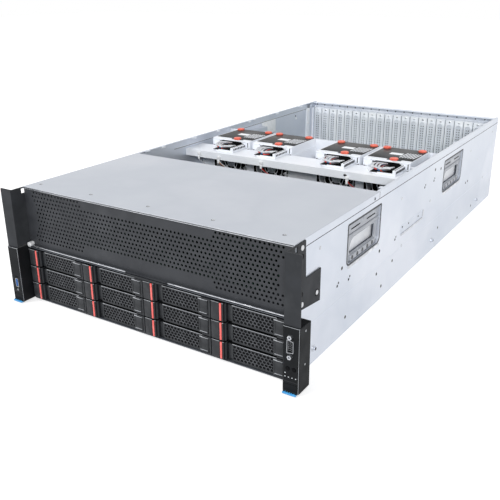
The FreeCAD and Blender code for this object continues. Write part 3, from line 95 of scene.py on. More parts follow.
def add(tree, kind, **values):
    """Adds a node and fills in its inputs, an underscore in a name standing for a space."""
    node = tree.nodes.new("ShaderNode" + kind)
    for name, value in values.items():
        node.inputs[name.replace("_", " ")].default_value = value
    return node


def show(tree, kind, other, seen):
    """Shows one shader to the camera and to mirroring or clear surfaces, and another to all other rays."""
    path = add(tree, "LightPath")
    total = path.outputs["Is Camera Ray"]
    for name in ("Is Glossy Ray", "Is Transmission Ray"):
        larger = add(tree, "Math")
        larger.operation = "MAXIMUM"
        tree.links.new(total, larger.inputs[0])
        tree.links.new(path.outputs[name], larger.inputs[1])
        total = larger.outputs[0]
    choose = add(tree, "MixShader")
    for number, output in enumerate((total, other.outputs[0], seen.outputs[0])):
        tree.links.new(output, choose.inputs[number])
    tree.links.new(choose.outputs[0], add(tree, kind).inputs["Surface"])


def new_object(name, data, *finishes):
    """An object in the scene, with its finishes."""
    for material in finishes:
        data.materials.append(material)
    made = bpy.data.objects.new(name, data)
    bpy.context.scene.collection.objects.link(made)
    return made


WHITE = (1, 1, 1, 1)
floor_finish = bpy.data.materials.new("pale_floor")
tree = empty_tree(floor_finish)
matt = add(tree, "BsdfDiffuse", Color=(0.62, 0.62, 0.63, 1))
both = add(tree, "AddShader")
tree.links.new(matt.outputs[0], both.inputs[0])
tree.links.new(add(tree, "Emission", Color=WHITE, Strength=0.62).outputs[0], both.inputs[1])
show(tree, "OutputMaterial", matt, both)

FLOOR_REACH, FLOOR_LEVEL = 9, -0.0004
floor_data = bpy.data.meshes.new("floor")
floor_data.from_pydata([(x * FLOOR_REACH, y * FLOOR_REACH, FLOOR_LEVEL)
                        for x, y in ((-1, -1), (1, -1), (1, 1), (-1, 1))], [], [(0, 1, 2, 3)])
new_object("floor", floor_data, floor_finish)

world = bpy.data.worlds.new("even_room")
bpy.context.scene.world = world
tree = empty_tree(world)
show(tree, "OutputWorld", add(tree, "Background", Color=WHITE, Strength=0.59),
     add(tree, "Background", Color=WHITE, Strength=1.0))

for name, energy, width, direction in (("soft_sun", 1.25, 24, (0.42, 0.52, -0.74)),
                                       ("inner_light", 1.3, 10, (-0.5, 0.79, -0.37))):
    lamp = bpy.data.lights.new(name, "SUN")
    lamp.energy = energy
    lamp.angle = math.radians(width)
    new_object(name, lamp).rotation_euler = Vector(direction).to_track_quat("-Z", "Y").to_euler()
bpy.context.scene.view_settings.view_transform = "Standard"
print("stage: floor, even room and", len(bpy.data.lights), "soft suns")

# %% [markdown]
# The photograph was taken from the front right, a little above the cover, by a lens of about 48 mm. The
# camera's turn is built from the direction it looks in, so that each number can be read as an angle.

# %% Camera
def aimed(yaw, pitch, roll):
    """A rotation for a camera that looks along +Y turned by yaw, pitch and roll, in degrees."""
    yaw, pitch, roll = (math.radians(angle) for angle in (yaw, pitch, roll))
    ahead = Vector((math.sin(yaw) * math.cos(pitch), math.cos(yaw) * math.cos(pitch), math.sin(pitch)))
    right = Vector((math.cos(yaw), -math.sin(yaw), 0))
    up = right.cross(ahead)
    across = right * math.cos(roll) + up * math.sin(roll)
    upward = up * math.cos(roll) - right * math.sin(roll)
    return Matrix((across, upward, -ahead)).transposed()


camera_data = bpy.data.cameras.new("camera")
camera_data.sensor_width = 36
camera_data.lens = 48.26
camera = new_object("camera", camera_data)
camera.matrix_world = Matrix.Translation((0.5468, -1.04615, 0.4354)) @ aimed(-32.59, -21.38, -0.24).to_4x4()
bpy.context.scene.camera = camera
print("camera at", tuple(camera.location))

# %% [markdown]
# ## Finishes
# A finish is never one flat colour. Cold-rolled and galvanised sheet has a faint cloudy bloom and fine
# rolling lines, a coat of paint has the small dimples of its spraying, and a moulded part has the even
# grain of its tool. Each finish below is a short node tree: noise moves the colour a little, a second
# noise moves the gloss, and a third is the bump of the grain.

# %% A finish from noise
def paint(values):
    """A colour written as on a screen, 0 to 255, turned into light."""
    shares = [value / 255 for value in values]
    return [v / 12.92 if v <= 0.04045 else ((v + 0.055) / 1.055) ** 2.4 for v in shares] + [1]


def noise(tree, scale, detail=3.0, stretch=(1, 1, 1)):
    """Noise in the object's own space, in cells per metre, drawn out along an axis by stretch."""
    mapping = add(tree, "Mapping", Scale=stretch)
    tree.links.new(add(tree, "TexCoord").outputs["Object"], mapping.inputs["Vector"])
    texture = add(tree, "TexNoise", Scale=scale, Detail=detail)
    tree.links.new(mapping.outputs[0], texture.inputs["Vector"])
    return texture.outputs["Fac"]


def ramp(tree, source, colours):
    """Turns a grey noise into colours, spread over the middle of its range."""
    node = add(tree, "ValToRGB")
    stops = node.color_ramp.elements
    while len(stops) < len(colours):
        stops.new(0.5)
    for number, colour in enumerate(colours):
        stops[number].position = 0.32 + 0.36 * number / (len(colours) - 1)
        stops[number].color = colour
    tree.links.new(source, node.inputs["Fac"])
    return node.outputs["Color"]


def spread(tree, source, low, high):
    """Turns a grey noise into numbers between low and high."""
    node = add(tree, "MapRange", From_Min=0.3, From_Max=0.7, To_Min=low, To_Max=high)
    tree.links.new(source, node.inputs["Value"])
    return node.outputs["Result"]


FINISH = {}


def finish(name, middle, dark, light, cloud, gloss, metal, grain, depth, stretch=(1, 1, 1), coat=0.0,
           shine=0.5):
    """A finish: three colours over clouds of that many per metre, a span of roughness, and a grain of so
    many per metre with a bump of that depth in millimetres. Shine is the mirror part."""
    FINISH[name] = bpy.data.materials.new(name)
    tree = empty_tree(FINISH[name])
    shader = add(tree, "BsdfPrincipled", Metallic=metal, Specular_IOR_Level=shine, Coat_Weight=coat,
                 Coat_Roughness=0.25)
    bump = add(tree, "Bump", Strength=0.6, Distance=depth * MM)
    colours = [paint(colour) for colour in (middle, dark, light)]
    for output, end in (
            (ramp(tree, noise(tree, cloud, 4.0), colours), shader.inputs["Base Color"]),
            (spread(tree, noise(tree, cloud * 2.3, 3.0, stretch), *gloss), shader.inputs["Roughness"]),
            (noise(tree, grain, 2.0, stretch), bump.inputs["Height"]),
            (bump.outputs[0], shader.inputs["Normal"]),
            (shader.outputs[0], add(tree, "OutputMaterial").inputs["Surface"])):
        tree.links.new(output, end)


print("one finish has three noises: for the colour, for the gloss and for the grain")

# %% [markdown]
# The chassis is bright zinc-coated sheet, a little blue, with rolling lines along the server. The front
# cover is the same sheet, greyer and finer. Cut parts inside, such as the bridge and the fan cage, are
# the brightest: their sheet is painted lighter than the walls, painted light that makes up for the shade
# inside the chassis. The ears and boxes carry a black coat with hardly any mirror in it.

# %% Bare and coated metal
ALONG = (1, 0.1, 1)
finish("wall_sheet", (219, 224, 232), (209, 215, 225), (224, 228, 236), 6, (0.34, 0.46), 0.6, 900, 0.02,
       (1, 0.08, 1))
finish("inner_sheet", (230, 236, 246), (219, 226, 238), (235, 240, 249), 14, (0.36, 0.5), 0.1, 900, 0.02, ALONG)
finish("cover_sheet", (195, 200, 208), (190, 195, 204), (199, 203, 211), 7, (0.42, 0.5), 0.25, 1500, 0.015,
       (1, 0.3, 1))
# Bright sheet: painted lighter than the walls, as painted light against the shade inside the chassis.
finish("bright_sheet", (243, 246, 251), (236, 240, 247), (246, 249, 253), 12, (0.3, 0.42), 0.08, 900, 0.015,
       (0.1, 1, 1))
finish("pale_sheet", (214, 219, 227), (206, 211, 220), (219, 224, 231), 30, (0.36, 0.5), 0.1, 1400, 0.02)
# Bare steel serves real bare metal, and painted highlights on the cover's fold, the recess lips and the
# channels.
finish("bare_steel", (214, 216, 220), (190, 193, 198), (226, 228, 232), 60, (0.22, 0.38), 0.9, 2600, 0.02)
finish("cage_zinc", (92, 96, 103), (80, 84, 91), (100, 104, 111), 20, (0.45, 0.6), 0.3, 900, 0.02, ALONG)
finish("grey_coat", (176, 180, 187), (166, 170, 177), (183, 187, 193), 40, (0.34, 0.48), 0.35, 1800, 0.03)
# Dark edge serves real joints, rivets and holes, and painted shade in dimples, dents, recess rims and gaps.
finish("dark_edge", (64, 66, 70), (50, 52, 56), (72, 74, 78), 30, (0.45, 0.6), 0.3, 1800, 0.02)
finish("black_coat", (61, 63, 67), (54, 56, 60), (65, 67, 71), 24, (0.42, 0.54), 0, 1500, 0.04, shine=0.25)
finish("ear_coat", (60, 62, 66), (53, 55, 58), (65, 67, 70), 22, (0.5, 0.62), 0, 1500, 0.04, shine=0.12)
finish("box_coat", (26, 28, 31), (21, 23, 25), (30, 32, 35), 22, (0.5, 0.62), 0, 1500, 0.04, shine=0.12)
print("finishes of metal and coats:", len(FINISH))

# %% [markdown]
# Moulded parts are next: the black drive levers and frames, the salmon red release stripes, the
# terracotta touch points of the fans, the blue lips of the rack latches, and the boards. Painted highlights
# for edges and bare labels are finishes of their own.

# %% Moulded parts, boards and labels
finish("black_mould", (41, 43, 47), (33, 35, 39), (46, 48, 52), 60, (0.36, 0.5), 0, 2400, 0.03, shine=0.3)
finish("lever_mould", (53, 55, 58), (45, 47, 50), (59, 61, 64), 60, (0.38, 0.5), 0, 2400, 0.03, shine=0.25)
# Paler webs round the lever's holes: a painted highlight where light catches them.
finish("web_glint", (84, 86, 90), (74, 76, 80), (92, 94, 98), 60, (0.4, 0.52), 0, 2400, 0.02, shine=0.25)
# A painted highlight: the thin bright line where light catches an edge of a black part.
finish("painted_edge_glint", (170, 173, 178), (152, 155, 160), (186, 189, 193), 60, (0.3, 0.42), 0, 2400, 0.02,
       shine=0.4)
# Deep black serves real black parts and holes, and painted shade behind the lever holes and in the tray gaps.
finish("deep_black", (14, 15, 17), (9, 10, 12), (18, 19, 21), 60, (0.55, 0.7), 0, 2000, 0.03, shine=0.08)
finish("cap_black", (28, 29, 31), (20, 21, 23), (44, 45, 49), 14, (0.32, 0.44), 0, 2000, 0.015, shine=0.14)
finish("salmon_red", (252, 118, 112), (243, 104, 99), (254, 126, 119), 80, (0.3, 0.42), 0, 2400, 0.02, coat=0.2)
finish("terracotta", (240, 112, 88), (228, 98, 76), (245, 120, 96), 80, (0.34, 0.46), 0, 2400, 0.03, coat=0.15)
finish("latch_blue", (82, 172, 232), (66, 158, 222), (92, 180, 236), 80, (0.3, 0.42), 0, 2400, 0.02, coat=0.2)
finish("port_blue", (40, 110, 190), (32, 96, 172), (48, 120, 200), 90, (0.3, 0.45), 0, 2400, 0.02)
# White mould serves real white mouldings, and a painted reflection on the fan guards' metal.
finish("white_mould_and_painted_sheen", (238, 239, 241), (228, 230, 233), (243, 244, 246), 70, (0.35, 0.5), 0, 2000, 0.02)
# Bare label serves real labels, and painted light on the floors of the handle recesses.
finish("bare_label_and_painted_light", (246, 249, 253), (238, 241, 246), (250, 252, 255), 50, (0.4, 0.5), 0, 1800, 0.01)
finish("lamp_lens", (214, 220, 224), (202, 208, 212), (222, 228, 232), 90, (0.2, 0.3), 0, 2400, 0.01, coat=0.3)
finish("board_green", (34, 88, 62), (24, 72, 50), (40, 98, 70), 120, (0.3, 0.45), 0, 2000, 0.03, coat=0.3)
print("finishes in all:", len(FINISH))

# %% [markdown]
# A node of the frame whose shape is right keeps its mesh and only changes its finish. Sheet and mouldings
# are never knife-sharp, so a small bevel goes on as a modifier: it catches the light along each edge, which
# is most of what tells the eye that a black part has edges at all.

# %% Finishes for the frame's nodes
def dress(name, look, soften=0.0):
    """Gives a node its finish and, where wanted, a rounded edge of so many millimetres."""
    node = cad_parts[name]
    if not node.material_slots:
        node.data.materials.append(FINISH[look])
    for slot in node.material_slots:
        slot.material = FINISH[look]
    if soften:
        node.modifiers.new("joined_corners", "WELD").merge_threshold = 0.00001
        bevel = node.modifiers.new("soft_edge", "BEVEL")
        bevel.width = soften * MM
        bevel.segments = 2
        bevel.limit_method = "ANGLE"
        bevel.angle_limit = math.radians(40)
        bevel.harden_normals = False


for name, look, soften in (
        ("chassis_pan", "wall_sheet", 0), ("top_rails", "wall_sheet", 0), ("front_cover", "cover_sheet", 0.35),
        ("rear_panel", "inner_sheet", 0), ("slot_covers", "bright_sheet", 0), ("drive_cage", "cage_zinc", 0),
        ("vent_panel", "black_coat", 0), ("fan_bridge", "bright_sheet", 0.5), ("fan_cage", "bright_sheet", 0),
        ("circuit_boards", "board_green", 0), ("front_ports", "bare_steel", 0),
        ("pull_tag", "black_mould", 0.3),
        ("power_button", "deep_black", 0.3), ("locate_button", "deep_black", 0.3)):
    dress(name, look, soften)
for side in ("left", "right"):
    dress(side + "_ear", "ear_coat", 0.3)
    dress(side + "_control_box", "box_coat", 0.35)
    dress(side + "_latch", "box_coat", 0.25)
    for end in ("front", "rear"):
        dress("%s_%s_handle" % (end, side), "grey_coat", 0.3)
for number in range(1, 13):
    dress("drive_carrier_%02d" % number, "black_mould", 0.3)
    dress("drive_lever_%02d" % number, "lever_mould")
for number in range(1, 5):
    dress("fan_module_%d" % number, "bright_sheet")
    dress("fan_rotor_%d" % number, "deep_black")
    dress("power_supply_%d" % number, "inner_sheet", 0.3)
print("dressed", len(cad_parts), "nodes")

# %% [markdown]
# ## Pieces of sheet metal and plastic
# Most small things on a server are folded, turned or moulded, so we make them in mesh code from a few
# shapes: a block with softened edges, a round with a number of steps along its axis, and a flat outline
# raised to a thickness. They are written in millimetres and set down in metres at the end.

# %% Shapes in millimetres
def block(shape, low, high, soften=0.0):
    """Adds a block between two corners, its edges softened by so many millimetres."""
    made = bmesh.ops.create_cube(shape, size=1.0)["verts"]
    for corner in made:
        corner.co = [min(a, b) + abs(b - a) * (c + 0.5) for a, b, c in zip(low, high, corner.co)]
    if soften:
        edges = {edge for corner in made for edge in corner.link_edges}
        bmesh.ops.bevel(shape, geom=list(edges), offset=soften, segments=2, affect="EDGES", profile=0.6)
    return made


def lathe(shape, at, axis, steps, sides=20):
    """Turns a profile round an axis; each step is a distance along it and a radius."""
    turn = Vector(UP).rotation_difference(Vector(axis)).to_matrix()
    rings = []
    for along, radius in steps:
        angles = [2 * math.pi * k / sides for k in range(sides if radius else 1)]
        rings.append([shape.verts.new(Vector(at) + turn @ Vector(
            (radius * math.cos(angle), radius * math.sin(angle), along))) for angle in angles])
    for lower, upper in zip(rings, rings[1:]):
        for k in range(sides):
            corners = [lower[k % len(lower)], lower[(k + 1) % len(lower)],
                       upper[(k + 1) % len(upper)], upper[k % len(upper)]]
            shape.faces.new(list(dict.fromkeys(corners)))


def raised(shape, outline, at, across, upward, thickness):
    """Raises a flat outline, given across and upward from a point, to a thickness."""
    across, upward = Vector(across), Vector(upward)
    normal = across.cross(upward)
    base = [shape.verts.new(Vector(at) + across * a + upward * b) for a, b in outline]
    top = [shape.verts.new(corner.co + normal * thickness) for corner in base]
    shape.faces.new(list(reversed(base)))
    shape.faces.new(top)
    for k in range(len(outline)):
        after = (k + 1) % len(outline)
        shape.faces.new((base[k], base[after], top[after], top[k]))


def set_down(shape, name, look, body="chassis"):
    """Makes an object of a shape in millimetres, with its finish, on the body it rides on."""
    bmesh.ops.recalc_face_normals(shape, faces=shape.faces)
    for edge in shape.edges:
        edge.smooth = len(edge.link_faces) == 2 and edge.calc_face_angle(0) < math.radians(35)
    for face in shape.faces:
        face.smooth = True
    for corner in shape.verts:
        corner.co *= MM
    data = bpy.data.meshes.new(name)
    shape.to_mesh(data)
    shape.free()
    piece = new_object(name, data, FINISH[look])
    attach(piece, body)
    return piece


def build(name, look, blocks=(), rounds=(), flats=(), at=ON_FACE, body="chassis", slot="sheet_steel",
          shape=None):
    """Sets down one piece, all of it counted from a place. A block is two places along X, two along Y and
    two along Z, and its softening. A round is its middle, axis, steps and sides. A flat is a ready mesh."""
    if shape is None:
        shape = bmesh.new()
    for row in blocks:
        low, high = ([row[2 * k + end] + at[k] for k in range(3)] for end in (0, 1))
        block(shape, low, high, *row[6:])
    for middle, axis, steps, sides in rounds:
        lathe(shape, [a + b for a, b in zip(middle, at)], axis, steps, sides)
    for flat in flats:
        shape.from_mesh(flat)
        bpy.data.meshes.remove(flat)
    return set_down(shape, name, look, body)


print("shapes: block, lathe and raised outline")

# %% [markdown]
# ## The perforated front panel
# On the real server this is one black sheet with about nine hundred punched holes in staggered rows, so air
# reaches the boards. A texture of dots would go flat from the side. We build each hole instead: every cell
# of the sheet is a rectangle with an eight-sided hole in it, and the hole has walls as deep as the sheet.
# The rows do not all begin and end at the same place: the field steps in round the bends at its ends.

# %% Punched sheet
SHEET = 1.2
SHEET_FRONT = FACE - SHEET
HOLE_RADIUS, HOLE_PITCH, ROW_PITCH = 1.75, 6.15, 5.9
ROWS, HOLES_IN_ROW, FIELD_LOW, FIELD_LEFT = 13, 68, 93.6, -206.6
panel_low, panel_high = corners_mm("vent_panel")
foot, head, panel_edge = panel_low[2], panel_high[2], panel_high[0]


def punched_row(shape, low, start, spans):
    """One strip of sheet with holes from start on, wherever they lie within the spans."""
    high = low + ROW_PITCH
    middle = (low + high) / 2
    edge = -panel_edge

    def corner(x, z, y=SHEET_FRONT):
        return shape.verts.new((x, y, z))

    def plain(left, right):
        if right > left + 0.01:
            shape.faces.new([corner(left, low), corner(right, low), corner(right, high), corner(left, high)])

    for x in (start + k * HOLE_PITCH for k in range(HOLES_IN_ROW)):
        if not any(a <= x <= b for a, b in spans):
            continue
        left, right = x - HOLE_PITCH / 2, x + HOLE_PITCH / 2
        plain(edge, left)
        edge = right
        square = [corner(*at) for at in ((right, middle), (right, high), (x, high), (left, high),
                                         (left, middle), (left, low), (x, low), (right, low))]
        round_places = [(x + HOLE_RADIUS * math.cos(math.pi / 4 * k),
                         middle + HOLE_RADIUS * math.sin(math.pi / 4 * k)) for k in range(8)]
        ring = [corner(*at) for at in round_places]
        back = [corner(*at, FACE) for at in round_places]
        for k in range(8):
            after = (k + 1) % 8
            shape.faces.new((square[k], square[after], ring[after], ring[k]))
            shape.faces.new((ring[k], ring[after], back[after], back[k]))
    plain(edge, panel_edge)


sheet = bmesh.new()
for row in range(ROWS):
    from_end = min(row, ROWS - 1 - row)
    outer = 206.5 if from_end < 3 else 199.5
    spans = [(-outer, outer)]
    if from_end < 2:
        inner = (112.0, 108.0)[from_end]
        spans = [(-outer, -inner), (inner, outer)]
    punched_row(sheet, FIELD_LOW + row * ROW_PITCH, FIELD_LEFT + row % 2 * HOLE_PITCH / 2, spans)
for low, high in ((foot, FIELD_LOW), (FIELD_LOW + ROWS * ROW_PITCH, head)):
    sheet.faces.new([sheet.verts.new((x, SHEET_FRONT, z)) for x, z in
                     ((-panel_edge, low), (panel_edge, low), (panel_edge, high), (-panel_edge, high))])
bmesh.ops.remove_doubles(sheet, verts=sheet.verts, dist=0.001)
print("punched sheet:", len(sheet.faces), "faces")
raised(sheet, ((0, 0), (SHEET, 0), (SHEET, SHEET), (0, SHEET)), (-panel_edge, SHEET_FRONT, head - SHEET),
       TO_BACK, UP, 2 * panel_edge)
bends = [(-panel_edge, panel_edge, -6.5, -SHEET, foot, foot + SHEET)]
for sign in (-1, 1):
    bends.append((sign * (HALF - 1.3), sign * (HALF - 1.3 - SHEET), 0.2 - SHEET, 12, foot + 12, 157.6))
vent = build("punched_front_panel", "black_coat", bends, slot="black_steel", shape=sheet)
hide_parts("vent_panel")

# %% [markdown]
# ## Drive levers
# Each drive tray has a black ejector lever in front: a smooth grip on the left, a field of small holes for
# air, and a head that hides the hinge pin on the right. Twelve of them are the same, so the lever is built
# once, and twelve objects share its mesh. It stands for the plainer lever of the frame. A mesh can carry
# more than one finish: a deep black screen behind the holes and a black strip along the top are painted
# shade, and the paler webs and the bright upper edges are painted highlights.

# %% One lever, shared by twelve objects
LEVER_LEFT, GRIP_RIGHT, HEAD_LEFT, LEVER_RIGHT = 21.7, 29.2, 88.4, 91.7
LEVER_LOW, LEVER_HIGH = 1.0, 24.2
CELL_WIDE, CELL_STEP, CELL_ROWS = 5.35, 3.9, 5
CELLS_LOW = (LEVER_LOW + LEVER_HIGH - CELL_ROWS * CELL_STEP) / 2
CELLS_HIGH = CELLS_LOW + CELL_ROWS * CELL_STEP
SIX_CORNERS = ((0, 2 / 3), (-0.5, 1 / 3), (-0.5, -1 / 3), (0, -2 / 3), (0.5, -1 / 3), (0.5, 1 / 3))
LEVER_FINISHES = ("lever_mould", "deep_black", "painted_edge_glint", "web_glint")
LEVER_BLOCKS = (
    (GRIP_RIGHT, LEVER_RIGHT, -5.25, -1.2, CELLS_HIGH - 0.1, LEVER_HIGH, 0.35, 0),
    (GRIP_RIGHT, LEVER_RIGHT, -5.25, -1.2, LEVER_LOW, CELLS_LOW + 0.1, 0.35, 0),
    (HEAD_LEFT, LEVER_RIGHT, -5.25, -1.2, LEVER_LOW, LEVER_HIGH, 0.35, 0),
    (GRIP_RIGHT - 0.2, GRIP_RIGHT + 1.0, -5.25, -1.2, LEVER_LOW, LEVER_HIGH, 0.35, 0),
    (LEVER_LEFT, GRIP_RIGHT + 0.2, -2.7, -1.2, LEVER_LOW, LEVER_HIGH, 0.3, 0),
    (LEVER_LEFT + 4.2, GRIP_RIGHT - 0.2, -3.7, -2.4, LEVER_LOW + 1.6, LEVER_HIGH - 1.6, 0.5, 0),
    (LEVER_RIGHT - 0.6, 94.2, -5.2, -2.0, 3.6, 22.8, 0.2, 0),
    (HEAD_LEFT + 0.6, 103.5, -8.1, -4.4, 2.2, 23.4, 0.5, 0),
    (93.4, 103.5, -5.0, -2.4, 3.6, 22.8, 0.3, 0),
    (90.6, 91.4, -8.4, -8.0, 4.6, 22.4, 0.15, 0),
    (101.4, 102.4, -8.4, -8.0, 4.6, 22.4, 0.15, 0),
    # Finish 1 below is painted shade: a screen behind the holes and a strip along the top. Finish 2 is painted
    # highlight along the upper edges.
    (GRIP_RIGHT + 0.8, HEAD_LEFT + 0.2, -4.5, -4.2, CELLS_LOW, CELLS_HIGH, 0, 1),
    (LEVER_LEFT + 0.2, LEVER_RIGHT, -4.6, -1.3, LEVER_HIGH - 0.2, LEVER_HIGH + 0.06, 0, 1),
    (GRIP_RIGHT, LEVER_RIGHT, -5.3, -4.8, LEVER_HIGH - 0.7, LEVER_HIGH, 0, 2),
    (HEAD_LEFT + 0.8, 103.3, -8.2, -7.7, 22.2, 23.5, 0, 2),
    (90.8, 102.2, -8.45, -7.95, 4.4, 5.3, 0, 2))


def honeycomb(shape, left, low, columns, rows, front, depth, opening):
    """Six-sided cells side by side; each is a thin frame round a hole of that share of its width."""
    for row in range(rows):
        for column in range(columns - row % 2):
            x = left + (column + 0.5 + row % 2 / 2) * CELL_WIDE
            z = low + (row + 0.5) * CELL_STEP
            rings = [[shape.verts.new((x + share * CELL_WIDE * u, y, z + share * CELL_STEP * v))
                      for u, v in SIX_CORNERS]
                     for share, y in ((1.0, front), (opening, front), (opening, front + depth))]
            for outer, inner in zip(rings, rings[1:]):
                for k in range(6):
                    after = (k + 1) % 6
                    shape.faces.new((outer[k], outer[after], inner[after], inner[k]))


def bay_corner(number):
    """Where a drive bay's own corner lies, in millimetres."""
    column, level = BAYS[number - 1]
    return Vector(((column - 2) * BAY_WIDE, FACE, BAY_FOOT + level * BAY_HIGH))


shape = bmesh.new()
honeycomb(shape, GRIP_RIGHT + 0.3, CELLS_LOW, 11, CELL_ROWS, -4.9, 0.4, 0.81)
bmesh.ops.remove_doubles(shape, verts=shape.verts, dist=0.001)
for face in shape.faces:
    face.material_index = LEVER_FINISHES.index("web_glint")
for x, x_end, y, y_end, z, z_end, soften, finish_number in LEVER_BLOCKS:
    corners = block(shape, (x, y, z), (x_end, y_end, z_end), soften)
    if finish_number:
        for face in {face for corner in corners for face in corner.link_faces}:
            face.material_index = finish_number
bmesh.ops.translate(shape, verts=shape.verts, vec=bay_corner(1))
lever = set_down(shape, "ejector_lever_01", LEVER_FINISHES[0], "drive_lever_01")
for look in LEVER_FINISHES[1:]:
    lever.data.materials.append(FINISH[look])
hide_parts("drive_lever_01")
for number in range(2, 13):
    twin = new_object("ejector_lever_%02d" % number, lever.data)
    twin.location = (bay_corner(number) - bay_corner(1)) * MM
    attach(twin, "drive_lever_%02d" % number)
    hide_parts("drive_lever_%02d" % number)
print("levers: 12 objects, one mesh of", len(lever.data.polygons), "faces")

# %% [markdown]
# ## Release stripes
# The salmon red stripe on each tray is the button that lets the lever go. It is a separate moulding that
# stands a little proud of its black block, with softened edges, and it moves with the tray. Thin dark
# blocks are painted shade in the gaps between tray and lever and on top of the block, and the bright ones
# are painted highlights along the upper edges.

# %% Stripes, fronts, painted shade and painted highlights of the trays
TRAY_PIECES = (
    ("release_stripe", "salmon_red", None, ((13.42, 16.18, -9.75, -8.2, 1.5, 24.9, 0.4),)),
    ("tray_front", "lever_mould", "black_plastic", (
        (0.9, 12.2, -9.35, -8.9, 1.4, 25.0, 0.2), (17.1, 18.4, -9.3, -8.9, 1.6, 24.8, 0.15),
        (105.45, 107.75, -9.0, -8.5, 1.0, 25.4, 0.2))),
    # The dark blocks next are painted shade in the gaps; the bright ones after them are painted highlights.
    ("tray_gap_shade", "deep_black", "black_plastic", (
        (21.3, 93.6, -1.1, -0.9, 23.8, 26.9), (19.0, 20.6, -9.15, -8.9, 1.4, 25.0),
        (0.9, 21.0, -8.2, -0.6, 25.4, 25.68))),
    ("tray_edge_glint", "painted_edge_glint", "black_plastic", (
        (17.0, 18.6, -9.4, -8.9, 24.6, 25.4, 0.1), (0.9, 12.4, -9.3, -8.8, 24.9, 25.5, 0.1))))
for number in range(1, 13):
    for name, look, slot, blocks in TRAY_PIECES:
        build("%s_%02d" % (name, number), look, blocks, at=bay_corner(number),
              body="drive_carrier_%02d" % number, slot=slot)
print("pieces on each tray:", len(TRAY_PIECES))

# %% [markdown]
# ## Bright edges of the front
# The sheet above the drive bays ends in a bare lip that shines as a thin white line, broken where the pull
# tag lies. The front cover is folded over twice along its front: two bright strips there are painted
# highlights on the bends, and a dark strip between them is painted shade in the gap. These strips are a
# millimetre high or less, and they carry much of the photograph.

# %% Lip, hem and standoffs
lip = [(-218.95, -218.15, -1.0, -0.3, 3.4, 82.4, 0.1)]
for left, right in ((-218.6, -30.6), (40.6, 218.6)):
    lip += [(left, right, -6.9, -6.3, foot + 0.1, foot + 1.35, 0.15),
            (left, right, -6.5, -5.2, foot + 1.15, foot + 1.4, 0.05)]
build("bright_lip", "bare_steel", lip,
      [((213.6, -7.0, 89.6), TO_FRONT, ((-5.0, 1.5), (0.2, 1.5), (0.5, 1.1), (0.5, 0)), 20)])
build("lip_standoff", "white_mould_and_painted_sheen", rounds=[
    ((-215.6, -1.3, 88.4), TO_FRONT, ((0, 3.6), (7.0, 3.6), (7.6, 3.0), (7.6, 1.5), (6.6, 1.4), (6.6, 0)), 20)])
# Bright strips on the cover's fold are painted highlights, and the dark strip between them is painted shade.
build("cover_hem_glints", "bare_steel", [(-219.8, 219.8, -2.98, -2.6, z, z + 0.7, 0.12) for z in (171.1, 173.1)],
      slot="cover_steel")
build("cover_hem_gap_shade", "dark_edge", [(-219.6, 219.6, -2.93, -2.6, 172.0, 172.9)], slot="cover_steel")
print("bright lip from", foot, "mm, and the hem below", HEIGHT, "mm")

# %% [markdown]
# ## Screws
# A pan head screw is turned about its axis: a low dome with a recess in the middle. The recess is round
# here; at this size a cross and a round recess look the same, and it costs few faces.

# %% Screws on the cover, and the painted shade of their dimples
def screw(at, axis, radius=2.6, height=1.0):
    """A pan head screw on a surface, as a round for build."""
    return at, axis, ((-0.2, radius), (height * 0.45, radius), (height, radius * 0.62), (height, radius * 0.34),
                      (height * 0.45, radius * 0.26), (height * 0.45, 0)), 16


def disc(at, axis, radius, proud=0.12, sides=14):
    """A flat round that stands out by a little; a dark one reads as a hole in the sheet."""
    return at, axis, ((-0.2, radius), (proud, radius), (proud, 0)), sides


COVER_SCREWS = (-206.3, -107.9, -6.5, 95.7, 195.4)
# Dark discs round the cover screws are painted shade in their pressed dimples.
build("cover_dimple_shade", "dark_edge", slot="cover_steel",
      rounds=[((x, 19, HEIGHT), UP, ((-0.3, 2.6), (0.05, 2.6), (0.05, 0)), 18) for x in COVER_SCREWS])
build("cover_screws", "bare_steel", slot="cover_steel", rounds=[
    ((x + 0.3, 19.5, HEIGHT), UP, ((-0.3, 1.9), (0.09, 1.9), (0.09, 0.8), (-0.1, 0.5), (-0.1, 0)), 16)
    for x in COVER_SCREWS])
print("cover screws:", len(COVER_SCREWS))

# %% [markdown]
# ## Ears and control boxes
# The ears are folded black sheet with cleared holes, white-plated screws and a rolled edge. The boxes below
# them hold the ports: a dark insert with three rows of contacts inside the video shell, a blue tongue in
# the USB shell, small lamps and plain printed dots. The thin light line above the foot is a joint in the box.

# %% Screws and holes of the ears
for side, sign in SIDES:
    outer = sign * (HALF + 1.75)
    axis = (sign, 0, 0)
    build(side + "_ear_screws", "white_mould_and_painted_sheen", slot="ear_black", rounds=[
        screw((outer, 12, 166), axis, 3.2, 1.2), screw((outer, 14, 95), axis, 3.2, 1.2),
        screw((outer, 51.7, 96), axis, 3.0)])
    build(side + "_ear_holes", "deep_black", slot="ear_black", rounds=[
        ((outer, 51.7, 96), axis, ((-0.2, 4.6), (0.25, 4.6), (0.3, 4.2), (0.3, 3.6), (-0.1, 3.5)), 20),
        disc((outer, 13, 155), axis, 3.4), disc((outer, 13, 108), axis, 3.4)])
print("ear screws and holes on", len(SIDES), "sides")

